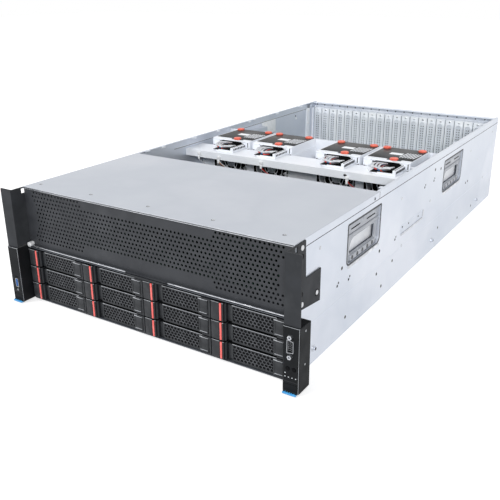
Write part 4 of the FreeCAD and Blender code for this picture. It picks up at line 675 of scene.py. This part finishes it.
# %% Faces of the control boxes
ON_BOX = (0, FACE - 26.5, 0)
build("right_box_lamps", "lamp_lens", [(x - 0.75, x + 0.75, -0.22, 0.3, 21.9, 22.9, 0.15)
                                       for x in (224.3, 228.9, 233.5, 238.1)]
      + [(223.8, 225.0, -0.18, 0.3, 26.5, 27.9, 0.2)], at=ON_BOX, slot="ear_black")
for side, sign in SIDES:
    inner, outer = sign * (HALF + 0.6), sign * (HALF + 21.1)
    x = max(inner, outer) - 0.1
    build(side + "_box_joint", "dark_edge", [(inner, outer, -0.16, 0.2, 16.6, 17.0, 0.05)],
          at=ON_BOX, slot="ear_black")
    # Bright strips along each box's top and outer edges are painted highlights.
    build(side + "_box_edge_glints", "painted_edge_glint", [
        (inner, outer, -0.15, 0.25, 85.9, 86.5, 0.1), (x, x + 0.4, -0.12, 0.3, 3.2, 86.3, 0.1),
        (x, x + 0.4, 0, 24.1, 86.15, 86.5, 0.1)], at=ON_BOX, slot="ear_black")
    build(side + "_box_screws", "bare_steel", at=ON_BOX, slot="ear_black", rounds=[
        screw((outer + sign * 0.25, 14.5, z), (sign, 0, 0), 1.7, 0.3) for z in (36.0, 79.0)])
build("left_box_slot", "deep_black", [(-235.4, -226.6, -0.12, 0.3, 40.0, 41.6, 0.2)],
      at=ON_BOX, slot="ear_black")
build("left_box_mark", "lamp_lens", [(-230.9, -230.5, -0.18, 0.2, 17.6, 22.4, 0.05)], at=ON_BOX,
      slot="ear_black", rounds=[
          ((-230.7 + 1.5 * math.cos(angle), -0.1, 20.0 + 1.5 * math.sin(angle)), TO_FRONT,
           ((-0.2, 0.5), (0.1, 0.5), (0.1, 0)), 8) for angle in map(math.radians, (90, 210, 330))])
print("box fronts: lamps, joints, screws, a slot and a plain mark")

# %% Insides of the ports
PORT_MIDDLE, VIDEO_LEVEL, USB_LEVEL = HALF + 10.2, 62, 31
build("video_insert", "deep_black", [(PORT_MIDDLE - 3.2, PORT_MIDDLE + 3.2, -0.4, 3.2,
                                      VIDEO_LEVEL - 7.2, VIDEO_LEVEL + 7.2, 0.6)], at=ON_BOX, slot="port_metal")
contacts = [(line, pin) for line in (-1, 0, 1) for pin in (-2, -1, 0, 1, 2)]
build("video_contacts", "bare_steel", at=ON_BOX, slot="port_metal", rounds=[
    ((PORT_MIDDLE + 2.0 * line, -0.38, VIDEO_LEVEL + 2.3 * pin + (0 if line else 0.5)), TO_FRONT,
     ((-0.1, 0.38), (0.12, 0.38), (0.12, 0.2), (0.0, 0.15), (0.0, 0)), 8) for line, pin in contacts])
build("usb_tongue", "port_blue", [(-PORT_MIDDLE - 2.1, -PORT_MIDDLE - 0.2, 0.2, 6,
                                   USB_LEVEL - 5.4, USB_LEVEL + 5.4, 0.2)], at=ON_BOX, slot="port_metal")
print("ports: an insert,", len(contacts), "contacts and a tongue")

# %% [markdown]
# ## Rack latches
# A blue lip below each box tells the hand where to pull when the server slides out of its rack. Only the lip
# is blue, so it is a piece of its own over the end of the black latch, and swings with it.

# %% Blue lips
for side, sign in SIDES:
    low, high = sorted((sign * (HALF + 1.9), sign * (HALF + 19.7)))
    ribs = [low + 3.2 + k * (high - low - 6.4) / 4 for k in range(5)]
    build(side + "_latch_lip", "latch_blue", [(low, high, -30.03, -26.6, 0.92, 3.0, 0.4)]
          + [(x - 0.6, x + 0.6, -30.02, -27.2, 2.6, 3.3, 0.2) for x in ribs],
          body=side + "_latch", slot="latch_blue")
print("ribs on each blue lip:", len(ribs))

# %% [markdown]
# ## Fan modules
# Each of the four hot-swap fans is a bright metal duct with a black moulded cap. The cap carries three
# terracotta touch points, a bare white label and a slanting vent. All of it lifts out with the module, so
# all of it rides on it, and one helper sets down every piece of a fan.

# %% Caps of the fan modules
MODULE_FRONT, MODULE_DEPTH, CAP_TOP = FACE + 429.0, 91.0, 170.0
FANS = [(number, "fan_module_%d" % number, (middle, MODULE_FRONT, 0))
        for number, middle in enumerate((-154.5, -65.5, 65.5, 154.5), start=1)]


def on_fan(number, name, look, blocks=(), rounds=(), shape=None):
    """One piece that lifts out with its fan, counted from the middle of the fan's front."""
    _, body, at = FANS[number - 1]
    build("%s_%d" % (name, number), look, blocks, rounds, at=at, body=body, slot="fan_plastic", shape=shape)


CAP = ((-38.0, 39.6, 11.5, MODULE_DEPTH - 1.4, CAP_TOP - 0.4, CAP_TOP + 0.9, 0.5),
       (-2.0, 22.0, 4.0, 16.0, CAP_TOP - 0.4, CAP_TOP + 0.7, 0.4))
CAP_LABEL = (-12, 10, 40, 54, CAP_TOP + 0.8, CAP_TOP + 1.02)
VENT_BAR = ((0, 0), (2.0, 0), (5.2, 34), (3.2, 34))
TOUCH_STEPS = ((0.1, 7.0), (2.9, 7.0), (3.3, 6.4), (3.3, 4.0), (2.9, 3.6), (2.9, 0))
TOUCH_POINTS = [((x, y, CAP_TOP), UP, TOUCH_STEPS, 20) for x, y in ((-32, 83), (32, 83), (10, 7))]
for number, _, (middle, _, _) in FANS:
    on_fan(number, "fan_cap", "cap_black", CAP)
    on_fan(number, "fan_label", "bare_label_and_painted_light", [CAP_LABEL])
    vent = bmesh.new()
    for k in range(6):
        raised(vent, VENT_BAR, (middle + 11.0 + 4.6 * k, MODULE_FRONT + 26, CAP_TOP + 0.85),
               TO_RIGHT, TO_BACK, 0.25)
    on_fan(number, "fan_vent", "bright_sheet", shape=vent)
    on_fan(number, "touch_points", "terracotta", rounds=TOUCH_POINTS)
print("fan caps, labels, vents and touch points:", len(FANS))

# %% [markdown]
# The front of each module shows a black mouth with cut corners. The tongue below it has a black floor, a
# black connector and a punched silver bar.

# %% Mouths, tongues and connectors
MOUTH = ((26, 157.6), (27, 163.5), (20, 168.8), (-18, 168.4), (-24, 162.5), (-24, 157.6))
TONGUE = ((-12.0, 29.4, -42.5, -0.2, 158.7, 159.25, 0.2), (10.5, 24, -34, -14, 159.0, 162.8, 0.8),
          (13.5, 21, -30, -18, 162.4, 163.9, 0.4), (36.4, 38.2, -0.5, 0.3, 158.6, 168.0, 0.1))
FRAME = [(27.6, 33.0, -44.4, -1.0, 158.9, 165.2, 0.4), (-13.4, -12.2, -22.0, -0.3, 158.8, 160.4, 0.2),
         (2.0, 29.0, -45.0, -43.4, 158.8, 160.6, 0.3)]
FRAME += [(x - 0.9, x + 0.9, -0.7, 0.3, 157.2, 168.6, 0.2) for x in (-40.2, -26.0, 30.5, 39.0)]
FRAME.append((-40.8, 40.8, -0.7, 0.4, 167.4, 168.7, 0.2))
BAR_HOLES = [(left, right, y, y + 2.8, low, high) for y in (-41.5 + 5.0 * k for k in range(8))
             for left, right, low, high in ((29.2, 31.6, 164.9, 165.35), (27.4, 27.9, 160.6, 163.6),
                                            (32.8, 33.15, 160.6, 163.6))]
for number, _, (middle, _, _) in FANS:
    mouth = bmesh.new()
    raised(mouth, MOUTH, (middle, MODULE_FRONT + 0.1, 0), TO_RIGHT, UP, 0.45)
    on_fan(number, "fan_front", "deep_black", TONGUE, shape=mouth)
    on_fan(number, "fan_frame", "bright_sheet", FRAME)
    on_fan(number, "fan_bar_holes", "deep_black", BAR_HOLES)
print("fan fronts:", len(FANS))

# %% [markdown]
# Wires are round and bend smoothly, so each one is a curve with a round section, and a few points give it
# its loop out of the mouth and back to the connector. Most are white, with a red, a blue and a black one
# between them. Random leans keep them from lying like a comb, and a seed makes them the same each time.

# %% Wires
for name, colour, darker in (
        ("red", (226, 74, 62), (200, 56, 48)), ("white", (222, 225, 229), (196, 200, 206)),
        ("blue", (52, 128, 176), (40, 108, 156)), ("yellow", (238, 190, 70), (224, 170, 54)),
        ("black", (34, 35, 38), (24, 25, 27))):
    finish("wire_" + name, colour, darker, colour, 120, (0.3, 0.42), 0, 2600, 0.01, coat=0.2)


def wires(name, runs, thickness, look, body, slot=None, closed=False, at=(0, 0, 0)):
    """One curve object of several runs of points in millimetres from a place, with a round section."""
    curve = bpy.data.curves.new(name, "CURVE")
    curve.dimensions = "3D"
    curve.bevel_depth = thickness / 2 * MM
    curve.bevel_resolution = 2
    curve.resolution_u = 8
    curve.use_fill_caps = True
    for run in runs:
        line = curve.splines.new("NURBS")
        line.points.add(len(run) - 1)
        for point, place in zip(line.points, run):
            point.co = [(value + start) * MM for value, start in zip(place, at)] + [1]
        line.order_u = 4
        line.use_endpoint_u = not closed
        line.use_cyclic_u = closed
    piece = new_object(name, curve, FINISH[look])
    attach(piece, body)
    return piece


random.seed(7)
WIRE_SETS = (("white", "wire_white", 3), ("red", "wire_red", 1), ("pale", "wire_white", 2),
             ("blue", "wire_blue", 1), ("inner", "wire_white", 2), ("rose", "wire_red", 1),
             ("black", "wire_black", 1))
WIRES_END = 19.0
for number, body, at in FANS:
    place = 0
    for name, look, count in WIRE_SETS:
        runs = []
        for _ in range(count):
            lean = random.uniform(-1.5, 1.5)
            x = -15 + 2.1 * place
            z = 161.0 + 0.5 * (place % 3) + (1.6 if look == "wire_white" else 0)
            reach = 30 + 1.1 * place + lean
            runs.append([(x, -0.2, z + 0.6), (x - 1.5 + lean, -10, z + 3.4),
                         (x - 3 + lean, -reach * 0.66, z + 4.2), (x + 2 + lean, -reach - 4, z + 1.6),
                         (x + 9 + lean, -reach - 3, z + 1.2), (WIRES_END - 5, -24 - place * 0.7, z + 0.6),
                         (WIRES_END, -14 - 2.0 * place, z + 0.4)])
            place += 1
        wires("fan_wires_%s_%d" % (name, number), runs, 2.1, look, body, at=at)
print("fan wires:", len(FANS) * len(WIRE_SETS), "curves")

# %% [markdown]
# A wire guard covers the front of each fan: three rings on a cross of four spokes. It is seen through the
# windows of the fan wall, below the bridge, and so is the black collar round the bore. The guard's metal is
# painted white: a painted reflection that keeps it bright in the shade under the bridge.

# %% Guards and collars
FAN_LEVEL = 126.9
BRIDGE_TOP = 157.2
HUB_STEPS = ((0, 9.5), (0.5, 9.2), (0.6, 8.0), (0.6, 0))


def circle(x, y, z, radius):
    """Twelve points round a middle, in an upright plane across the server."""
    angles = [math.pi / 6 * k for k in range(12)]
    return [(x + radius * math.cos(angle), y, z + radius * math.sin(angle)) for angle in angles]


for number, body, at in FANS:
    rings = [circle(0, -1.3, FAN_LEVEL, radius) for radius in (14, 24, 34)]
    # The guard's metal rings and spokes are painted white, a painted reflection that keeps them bright in
    # shade.
    wires("fan_guard_%d" % number, rings, 1.5, "white_mould_and_painted_sheen", body, "fan_plastic", closed=True, at=at)
    spokes = [[(radius * math.cos(angle), -1.6, FAN_LEVEL + radius * math.sin(angle))
               for radius in (8, 20, 36.5)] for angle in map(math.radians, (45, 135, 225, 315))]
    wires("fan_guard_spokes_%d" % number, spokes, 1.7, "white_mould_and_painted_sheen", body, "fan_plastic", at=at)
    on_fan(number, "fan_guard_hub", "bare_steel", rounds=[((0, -0.9, FAN_LEVEL), TO_FRONT, HUB_STEPS, 20)])
    collar, rows = bmesh.new(), []
    for angle in (math.radians(135 + 22.5 * k) for k in range(13)):
        right, up = math.cos(angle), math.sin(angle)
        reach = 40.4 / max(abs(right), abs(up))
        rows.append([collar.verts.new((at[0] + out * right, at[1] + y, min(FAN_LEVEL + out * up, BRIDGE_TOP)))
                     for out, y in ((reach, -0.05), (38.6, -0.05), (37.7, 5.4))])
    for one, other in zip(rows, rows[1:]):
        for k in (0, 1):
            collar.faces.new((one[k + 1], one[k], other[k], other[k + 1]))
    bmesh.ops.solidify(collar, geom=collar.faces, thickness=0.2)
    on_fan(number, "fan_collar", "deep_black", shape=collar)
print("guards and collars:", len(FANS))

# %% [markdown]
# Behind each rotor a deep honeycomb of black plastic straightens the air. Seen along the server it is open,
# and seen from above at a slant its walls close the view, so the fan looks dark inside.

# %% Air straighteners
CELLS_BACK = MODULE_FRONT + MODULE_DEPTH - 8.5
for number, _, (middle, _, _) in FANS:
    cells = bmesh.new()
    for row in range(18):
        for column in range(13):
            x = (column - 6 + row % 2 / 2) * CELL_WIDE
            z = (row - 8.5) * CELL_STEP
            if math.hypot(x, z) < 33.5:
                honeycomb(cells, middle + x - CELL_WIDE / 2, FAN_LEVEL + z - CELL_STEP / 2, 1, 1,
                          CELLS_BACK, 8, 0.84)
    bmesh.ops.remove_doubles(cells, verts=cells.verts, dist=0.001)
    on_fan(number, "air_straightener", "deep_black", shape=cells)
print("air straighteners:", len(FANS))

# %% [markdown]
# ## Bridge
# White moulded clips hold cables against the lip of the bridge, and a black tie closes one of them. Below
# the lip some wires hang in front of the fan wall.

# %% Cable clips
ON_BRIDGE = (0, FACE + 373.0, 0)
clips, knobs = [], []
for x, z in ((-187.8, 149.0), (-144.1, 146.4), (-53.6, 148.2), (110.4, 144.6)):
    clips += [(x - 2.6, x + 2.6, -1.3, 0.1, z - 4.2, z + 4.6, 0.5),
              (x - 1.3, x + 2.1, -3.4, -0.4, z - 8.2, z - 2.0, 0.6)]
    knobs.append(((x, -0.6, z + 2.2), TO_FRONT, ((0, 3.4), (1.8, 3.2), (2.3, 2.2), (2.3, 0)), 14))
build("cable_clips", "white_mould_and_painted_sheen", clips, knobs, at=ON_BRIDGE)
build("cable_tie", "wire_black", [(103.8, 109.6, -0.6, 0.1, 149.6, 151.6, 0.2)],
      [((106.5, -0.2, 150.6), TO_FRONT, ((0, 1.9), (1.2, 1.7), (1.4, 0)), 12)],
      at=ON_BRIDGE, slot="black_plastic")
hanging = {"red": [], "white": [], "yellow": []}
for x, colours in ((-187.8, ("white",)), (-144.1, ("red", "yellow", "white")), (-53.6, ("white", "red")),
                   (110.4, ("white", "red"))):
    for k, colour in enumerate(colours):
        start = x + 1.5 * k
        hanging[colour].append([
            (start, -1.6, 141.0), (start + 2, 4, 134.0), (start + 12 + 4 * k, 18, 121.0 - 2 * k),
            (start + 26 + 6 * k, 34, 112.0), (start + 34, 48, 104.0)])
for colour, runs in hanging.items():
    wires("bridge_wires_" + colour, runs, 1.8, "wire_" + colour, "chassis", at=ON_BRIDGE)
print("clips, a tie and", sum(len(runs) for runs in hanging.values()), "hanging wires")

# %% [markdown]
# ## Carrying handles
# Four handles fold into recesses of the side walls. The plate is a flat outline with a finger window, so we
# draw both outlines as one filled curve, which Blender raises to a thickness and rounds along its edges in
# one go. The upper part with two slots is fixed to the wall; the lower part swings out.

# %% Plates with holes
def plate(outlines, thickness, rounding, at, across=TO_BACK, upward=UP):
    """A flat plate in mesh form from outlines in millimetres, the later ones being holes."""
    curve = bpy.data.curves.new("plate", "CURVE")
    curve.dimensions = "2D"
    curve.fill_mode = "BOTH"
    curve.extrude = thickness / 2 - rounding
    curve.bevel_depth = rounding
    curve.bevel_resolution = 1
    curve.offset = -rounding
    for outline in outlines:
        line = curve.splines.new("POLY")
        line.points.add(len(outline) - 1)
        for point, place in zip(line.points, outline):
            point.co = (*place, 0, 1)
        line.use_cyclic_u = True
    holder = new_object("plate", curve)
    bpy.context.view_layer.update()
    flat = bpy.data.meshes.new_from_object(holder.evaluated_get(bpy.context.evaluated_depsgraph_get()))
    bpy.data.objects.remove(holder)
    across, upward = Vector(across), Vector(upward)
    turn = Matrix((across, upward, across.cross(upward))).transposed().to_4x4()
    flat.transform(Matrix.Translation(at) @ turn)
    return flat


def rounded(left, low, right, high, radii, steps=5):
    """A rectangle with its own radius at each corner, from the low left round to the high left."""
    points = []
    corners = (((left, low), 180, (1, 1)), ((right, low), 270, (-1, 1)),
               ((right, high), 0, (-1, -1)), ((left, high), 90, (1, -1)))
    for radius, ((u, v), start, (su, sv)) in zip(radii, corners):
        for k in range(steps + 1):
            turn = math.radians(start + 90 * k / steps)
            points.append((u + su * radius + radius * math.cos(turn),
                           v + sv * radius + radius * math.sin(turn)))
    return points


print("plates are filled curves with holes")

# %% Handles and their fixed webs
POCKETS = [(side, sign, "%s_%s" % (end, side), (0, FACE + start, 0))
           for side, sign in SIDES for end, start in (("front", 140.0), ("rear", 535.0))]
PIN_LEVEL, HANDLE_MIDDLE, WEB_MIDDLE = 134.6, 215.9, 217.2
SLOT_LOW, SLOT_HIGH, SLOT_LONG, SLOT_STARTS = 143.2, 145.2, 29, (14, 64)
GRIP = rounded(0.7, 99.9, 105.3, 137.0, (9, 9, 1.5, 1.5))
WINDOW = rounded(12.0, 109.2, 95.0, 130.2, (5, 5, 6, 15))[::-1]
WEB = [rounded(0.3, 138.8, 105.7, 152.9, (1, 1, 1, 1))] + [
    [(u + SLOT_LONG, SLOT_LOW), (u + SLOT_LONG, SLOT_HIGH), (u, SLOT_HIGH), (u, SLOT_LOW)] for u in SLOT_STARTS]
for side, sign, place, at in POCKETS:
    handle = place + "_handle"
    x, axis = sign * HANDLE_MIDDLE, (sign, 0, 0)
    swung = build(handle + "_plate", "grey_coat", [(x - 3.4, x + 3.4, 12.2, 94.8, 99.9, 108.3, 2.1)], [
        ((x, 0.7, PIN_LEVEL), TO_BACK, ((0, 0), (0, 2.7), (104.6, 2.7), (104.6, 0)), 16),
        ((x, -0.7, PIN_LEVEL), TO_BACK, ((0, 0), (0, 1.5), (107.4, 1.5), (107.4, 0)), 12)],
        [plate((GRIP, WINDOW), 2.4, 0.35, (x, at[1], 0))], at=at, body=handle, slot="handle_grey")
    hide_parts(handle)
    # Dark discs on the grip are painted shade in its dents.
    build(handle + "_dent_shade", "dark_edge", at=at, body=handle, slot="handle_grey", rounds=[
        disc((x + sign * 3.35, 18 + 16.5 * k, 104.2), axis, 3.0, 0.1, 16) for k in range(5)])
    build(handle + "_web", "grey_coat", at=at, slot="handle_grey",
          flats=[plate(WEB, 1.2, 0.2, (sign * WEB_MIDDLE, at[1], 0))], rounds=[
              screw((sign * 217.8, y, 149.2), axis, 1.7, 0.7) for y in (7, 53, 99)] + [
              ((sign * 217.6, y, 141.2), axis, ((-0.2, 2.2), (0.9, 2.0), (1.1, 0)), 12) for y in (3.4, 102.6)])
    build(handle + "_slots", "deep_black", [(sign * 216.8, sign * 217.5, y, y + SLOT_LONG, SLOT_LOW, SLOT_HIGH)
                                            for y in SLOT_STARTS], at=at, slot="handle_grey")
print("handles and webs:", len(POCKETS))

# %% [markdown]
# Behind the window lies the floor of the recess, set near the window and painted near white as painted
# light. Round the recess, where the sheet was pressed in, runs a dark rim of painted shade with a bright
# lower lip, a painted highlight where the light falls on the recess's lower wall. Without that rim a
# recess looks like a patch of paint.

# %% Floors and rims of the recesses
RIM = (rounded(-2.6, 97.0, 108.6, 155.6, (8, 9, 3, 3)),
       rounded(-0.1, 99.0, 106.1, 153.1, (7, 8, 1.5, 1.5))[::-1])
LIP = (rounded(2, 92.6, 106, 96.6, (2, 2, 1, 1)),)
for side, sign, place, at in POCKETS:
    on_wall = (sign * (HALF + 0.02), at[1], 0)
    # The floor is painted near white as painted light, the rim is painted shade and the lip a painted
    # highlight.
    build(place + "_recess_floor", "bare_label_and_painted_light", [
        (sign * 210.4, sign * 211.4, 8, 98, 108.4, 137.4, 0.3)], at=at)
    build(place + "_recess_rim_shade", "dark_edge", flats=[plate(RIM, 0.5, 0.1, on_wall)])
    build(place + "_recess_lip", "bare_steel", flats=[plate(LIP, 1.0, 0.3, on_wall)])
print("recesses:", len(POCKETS))

# %% [markdown]
# ## Marks on the side walls
# The walls carry punched holes with a bright burr, slits, flat rivets, a pressed channel with three screws,
# and two fine lines: the fold of the cover's skirt and the bend half way up. The rail studs get a dark
# end. Both walls have the same ones.

# %% Skirt, lines, holes and slits
HOLES = ((124.6, 100.7), (251.8, 81.9), (307.8, 47.5), (246.3, 48), (687, 79.4), (700.5, 79.8), (529.7, 34.4),
         (748.5, 16.7), (514, 146), (142.6, 23.3), (268, 20.5), (654, 17.7), (222, 167.8), (483, 151))
SLITS = ((148, 77.6), (113.1, 81), (313.3, 81.1), (481, 133.5), (435, 133))
RIVETS = ((60, 150), (330, 140), (345, 60), (470, 100), (700, 140), (760, 110), (820, 60), (860, 150))
STUDS, STUD_LEVEL = (51, 499, 785), 20.0
SEAM, COVER_END, SKIRT_TOP = 163.6, 238.3, 173.6
BURR_STEPS = ((0.0, 3.2), (0.10, 3.1), (0.10, 2.2), (0.0, 2.1))
RIVET_STEPS = ((-0.2, 2.6), (0.2, 2.5), (0.7, 1.5), (0.8, 0))
STUD_STEPS = ((-0.2, 4.6), (0.5, 4.3), (0.7, 3.1), (0.7, 3.0))
for side, sign in SIDES:
    wall, axis = sign * HALF, (sign, 0, 0)

    def strip(y, y_end, z, z_end, proud, *soften):
        """A flat strip on the wall between two distances and two heights."""
        return (wall - sign * 0.3, wall + sign * proud, y, y_end, z, z_end, *soften)

    build(side + "_skirt", "wall_sheet", [strip(0.6, COVER_END, 164.2, SKIRT_TOP, 0.12)], slot="cover_steel")
    slits = []
    for y, z in SLITS:
        slits += [strip(y - 2.2, y + 1.4, z - 2.6, z + 0.6, 0.12, 0.05),
                  strip(y + 1.6, y + 4.4, z + 1.0, z + 3.8, 0.12, 0.05)]
    build(side + "_wall_holes", "deep_black", slits + [
        strip(0.6, 898, SEAM - 0.35, SEAM + 0.45, 0.14),
        strip(COVER_END, COVER_END + 1, SEAM, SKIRT_TOP, 0.14)],
        [disc((wall, y, z), axis, 2.3) for y, z in HOLES] + [
            ((wall + sign * 3.2, y, STUD_LEVEL), axis, ((-0.3, 2.1), (0.06, 2.1), (0.06, 0)), 14)
            for y in STUDS])
    build(side + "_wall_rivets", "bare_steel", rounds=[
        ((wall, y, z), axis, BURR_STEPS, 14) for y, z in HOLES] + [
        ((wall, y, z), axis, RIVET_STEPS, 14) for y, z in RIVETS] + [
        ((wall, y, STUD_LEVEL), axis, STUD_STEPS, 16) for y in STUDS])
    build(side + "_wall_bend", "inner_sheet", [
        strip(2, 898, 57.2, 58.0, 0.06), strip(858, 858.8, 2, 173, 0.08)])
print("marks on each wall:", len(HOLES) + len(SLITS) + len(RIVETS) + len(STUDS))

# %% [markdown]
# The pressed channel is a long hollow with round ends. The wall's mesh is kept as it is, so we show the
# hollow by its edges: a pale floor, and as painted highlights a bright lip below and a bright end at the
# rear, where the light falls on the hollow's walls.

# %% Pressed channels
# The lip and the end below are painted highlights of the hollow's walls.
CHANNEL = (
    ("floor", rounded(333.0, 82.0, 437.0, 95.0, (5, 5, 5, 5)), 0.24, "inner_sheet"),
    ("lip", rounded(337.0, 78.8, 434.0, 81.8, (1.4, 1.4, 0.6, 0.6)), 1.4, "bare_steel"),
    ("end", rounded(433.4, 83.0, 437.6, 94.0, (1.2, 1.8, 1.8, 1.2)), 1.0, "bare_steel"))
for side, sign in SIDES:
    for name, outline, proud, look in CHANNEL:
        build("%s_channel_%s" % (side, name), look, flats=[
            plate((outline,), 2 * proud, min(0.1, proud / 3), (sign * HALF, FACE, 0))])
    build(side + "_channel_screws", "deep_black", rounds=[
        disc((sign * (HALF + 0.2), y, z), (sign, 0, 0), 1.7) for y, z in ((341, 92), (369, 90), (413, 89))])
print("channels:", len(SIDES))

# %% [markdown]
# ## Rear wall
# Each slot is closed by a blade with a raised bead. On the real sheet the bead has a bright edge, a round top
# and two rows of fine holes, so we punch one thin bead and set it on all of them.

# %% Punched beads and their screws
SLOT_PITCH, SLOT_COUNT = 20.32, 21
BEAD_FACE, BEAD_LOW, BEAD_HIGH, BEAD_HOLE = FACE + 882.25, 60.0, 151.0, 1.35
ON_BEADS = (0, BEAD_FACE, 0)
slots = [(k - (SLOT_COUNT - 1) / 2) * SLOT_PITCH for k in range(SLOT_COUNT)]
bead_outline = rounded(-5.9, BEAD_LOW, 5.9, BEAD_HIGH, (1.5, 1.5, 5.4, 5.4))
rim_outline = rounded(-7.4, BEAD_LOW - 1.5, 7.4, BEAD_HIGH + 1.5, (2.5, 2.5, 6.9, 6.9))
bead_holes = [[(column + BEAD_HOLE * math.cos(-math.pi / 3 * k),
                BEAD_LOW + 6.0 + 5.4 * row + BEAD_HOLE * math.sin(-math.pi / 3 * k)) for k in range(6)]
              for column in (-2.4, 2.4) for row in range(15)]
for name, look, outlines, thickness, forward in (
        ("slot_beads", "pale_sheet", [bead_outline] + bead_holes, 0.6, 1.35),
        ("slot_rims", "bright_sheet", [rim_outline, bead_outline], 1.0, 1.7)):
    once = plate(outlines, thickness, 0.0, (0, BEAD_FACE - forward, 0), TO_RIGHT, UP)
    shape = bmesh.new()
    for middle in slots:
        start = len(shape.verts)
        shape.from_mesh(once)
        shape.verts.ensure_lookup_table()
        bmesh.ops.translate(shape, verts=shape.verts[start:], vec=(middle, 0, 0))
    set_down(shape, name, look)
    bpy.data.meshes.remove(once)
shades = []
for x in slots:
    shades += [(x - 5.2, x + 5.2, -1.06, -1.0, BEAD_LOW + 3, BEAD_HIGH - 3),
               (x - 9.9, x - 9.3, -0.1, 0.4, 47.5, 160.0)]
build("slot_shade", "dark_edge", shades, at=ON_BEADS)
build("slot_screws", "bare_steel", at=ON_BEADS, rounds=[
    ((x, -0.1, 156.2), TO_FRONT, ((-0.2, 2.3), (0.3, 2.2), (0.8, 1.4), (0.8, 0)), 12) for x in slots])
print("beads:", SLOT_COUNT, "holes in each:", len(bead_holes))

# %% [markdown]
# The rear panel is folded over at its top, and the inside of the fold is bright. The left wall inside
# carries a bare label, screws down its rear corner and a few holes where rails hook in.

# %% Upper fold, label, corner screws and hooks
LEFT_INSIDE = -219.3
UNDER = LEFT_INSIDE - 0.1
ON_REAR = (0, REAR - 1.5, 0)
build("rear_fold", "bright_sheet", [(-214.0, 214.0, 0, 0.25, 160.5, 171.7)], at=ON_REAR)
build("rear_fold_rivets", "dark_edge", at=ON_REAR, rounds=[
    ((-213 + 20.3 * k, 0, 166.5), TO_FRONT, ((-0.1, 1.5), (0.4, 1.4), (0.5, 0)), 10) for k in range(22)])
build("wall_label", "bare_label_and_painted_light", [(UNDER, LEFT_INSIDE + 0.2, 646, 704, 132.0, 160.5, 0.1)])
tabs = [(sign * (HALF - 1.4), sign * (HALF - 6.5), y, y + 9, 170.4, 173.4, 0.5)
        for y in (300, 392, 470, 585, 700, 812) for sign in (-1, 1)]
build("corner_strip", "bright_sheet", [
    (UNDER, LEFT_INSIDE + 1.4, 850, 868, 50.0, 171.5, 0.3),
    (UNDER, LEFT_INSIDE + 1.2, 340, 880, 161.5, 171.8, 0.3)] + tabs)
build("wall_fold_shadow", "dark_edge", [(UNDER, LEFT_INSIDE + 0.3, 340, 850, 160.4, 161.4)])
build("corner_screws", "white_mould_and_painted_sheen", rounds=[
    screw((LEFT_INSIDE + 1.4, 859, z), TO_RIGHT, 3.0, 1.2) for z in (66, 96, 126, 156)] + [
    screw((LEFT_INSIDE, y, z), TO_RIGHT, 2.4) for y, z in ((800, 146.0), (720, 120.0))])
build("wall_hooks", "dark_edge", rounds=[
    disc((LEFT_INSIDE, y, z), TO_RIGHT, 1.9, 0.15) for y, z in (
        (383, 152), (413, 152), (516, 150), (797, 152), (656, 122), (674, 122), (760, 100), (820, 90))])
print("rear fold, label, strip with", len(tabs), "tabs, screws and hooks")

# %% [markdown]
# ## Power supplies from behind
# Each supply has a black mains inlet with three blades, a fan behind three wire rings, and a terracotta
# release tab beside its grip. They slide out with the supply, so each rides on its own.

# %% Inlets, fan grilles and release tabs
SUPPLY_PITCH, SUPPLY_LOW, FAN_X, FAN_Z = 75.3, 2.6, -17.75, 20
INLET_LEFT, INLET_RIGHT, INLET_LOW, INLET_HIGH = 4.9, 30.6, 5.1, 22.9
BLADE_X, BLADE_Z = (INLET_LEFT + INLET_RIGHT) / 2, (INLET_LOW + INLET_HIGH) / 2
INLET = [(INLET_LEFT, INLET_RIGHT, -14.8, -9.0, INLET_LOW, INLET_HIGH)] + [
    (left, right, -9.2, 0.3, low, high, 0.3) for left, right, low, high in (
        (INLET_LEFT, INLET_RIGHT, INLET_LOW, INLET_LOW + 2),
        (INLET_LEFT, INLET_RIGHT, INLET_HIGH - 2, INLET_HIGH),
        (INLET_LEFT, INLET_LEFT + 2, INLET_LOW, INLET_HIGH),
        (INLET_RIGHT - 2, INLET_RIGHT, INLET_LOW, INLET_HIGH))]
for number in range(1, 5):
    own = {"at": ((number - 2.5) * SUPPLY_PITCH, REAR - 1.5, SUPPLY_LOW), "body": "power_supply_%d" % number,
           "slot": None}
    build("supply_inlet_%d" % number, "deep_black", INLET, [
        ((FAN_X, -4.9, FAN_Z), TO_BACK, ((-0.1, 13.6), (0.4, 13.6), (0.5, 0)), 24)], **own)
    build("supply_blades_%d" % number, "bare_steel", [
        (BLADE_X + x - 0.9, BLADE_X + x + 0.9, -9.2, -2.5, BLADE_Z + z - 2.4, BLADE_Z + z + 2.4, 0.2)
        for x, z in ((-7, 0), (0, 3), (7, 0))], [
        ((FAN_X, -2.2, FAN_Z), TO_BACK, ((0, 3.4), (1.0, 3.2), (1.2, 0)), 16)], **own)
    wires("supply_rings_%d" % number, [circle(FAN_X, -1.2, FAN_Z, radius) for radius in (6.5, 10.2, 14.2)],
          1.2, "bare_steel", closed=True, **own)
    build("supply_release_%d" % number, "terracotta", [(-35.8, -33.4, -0.2, 4.5, 4, 15, 0.6)], **own)
print("power supplies dressed:", number)
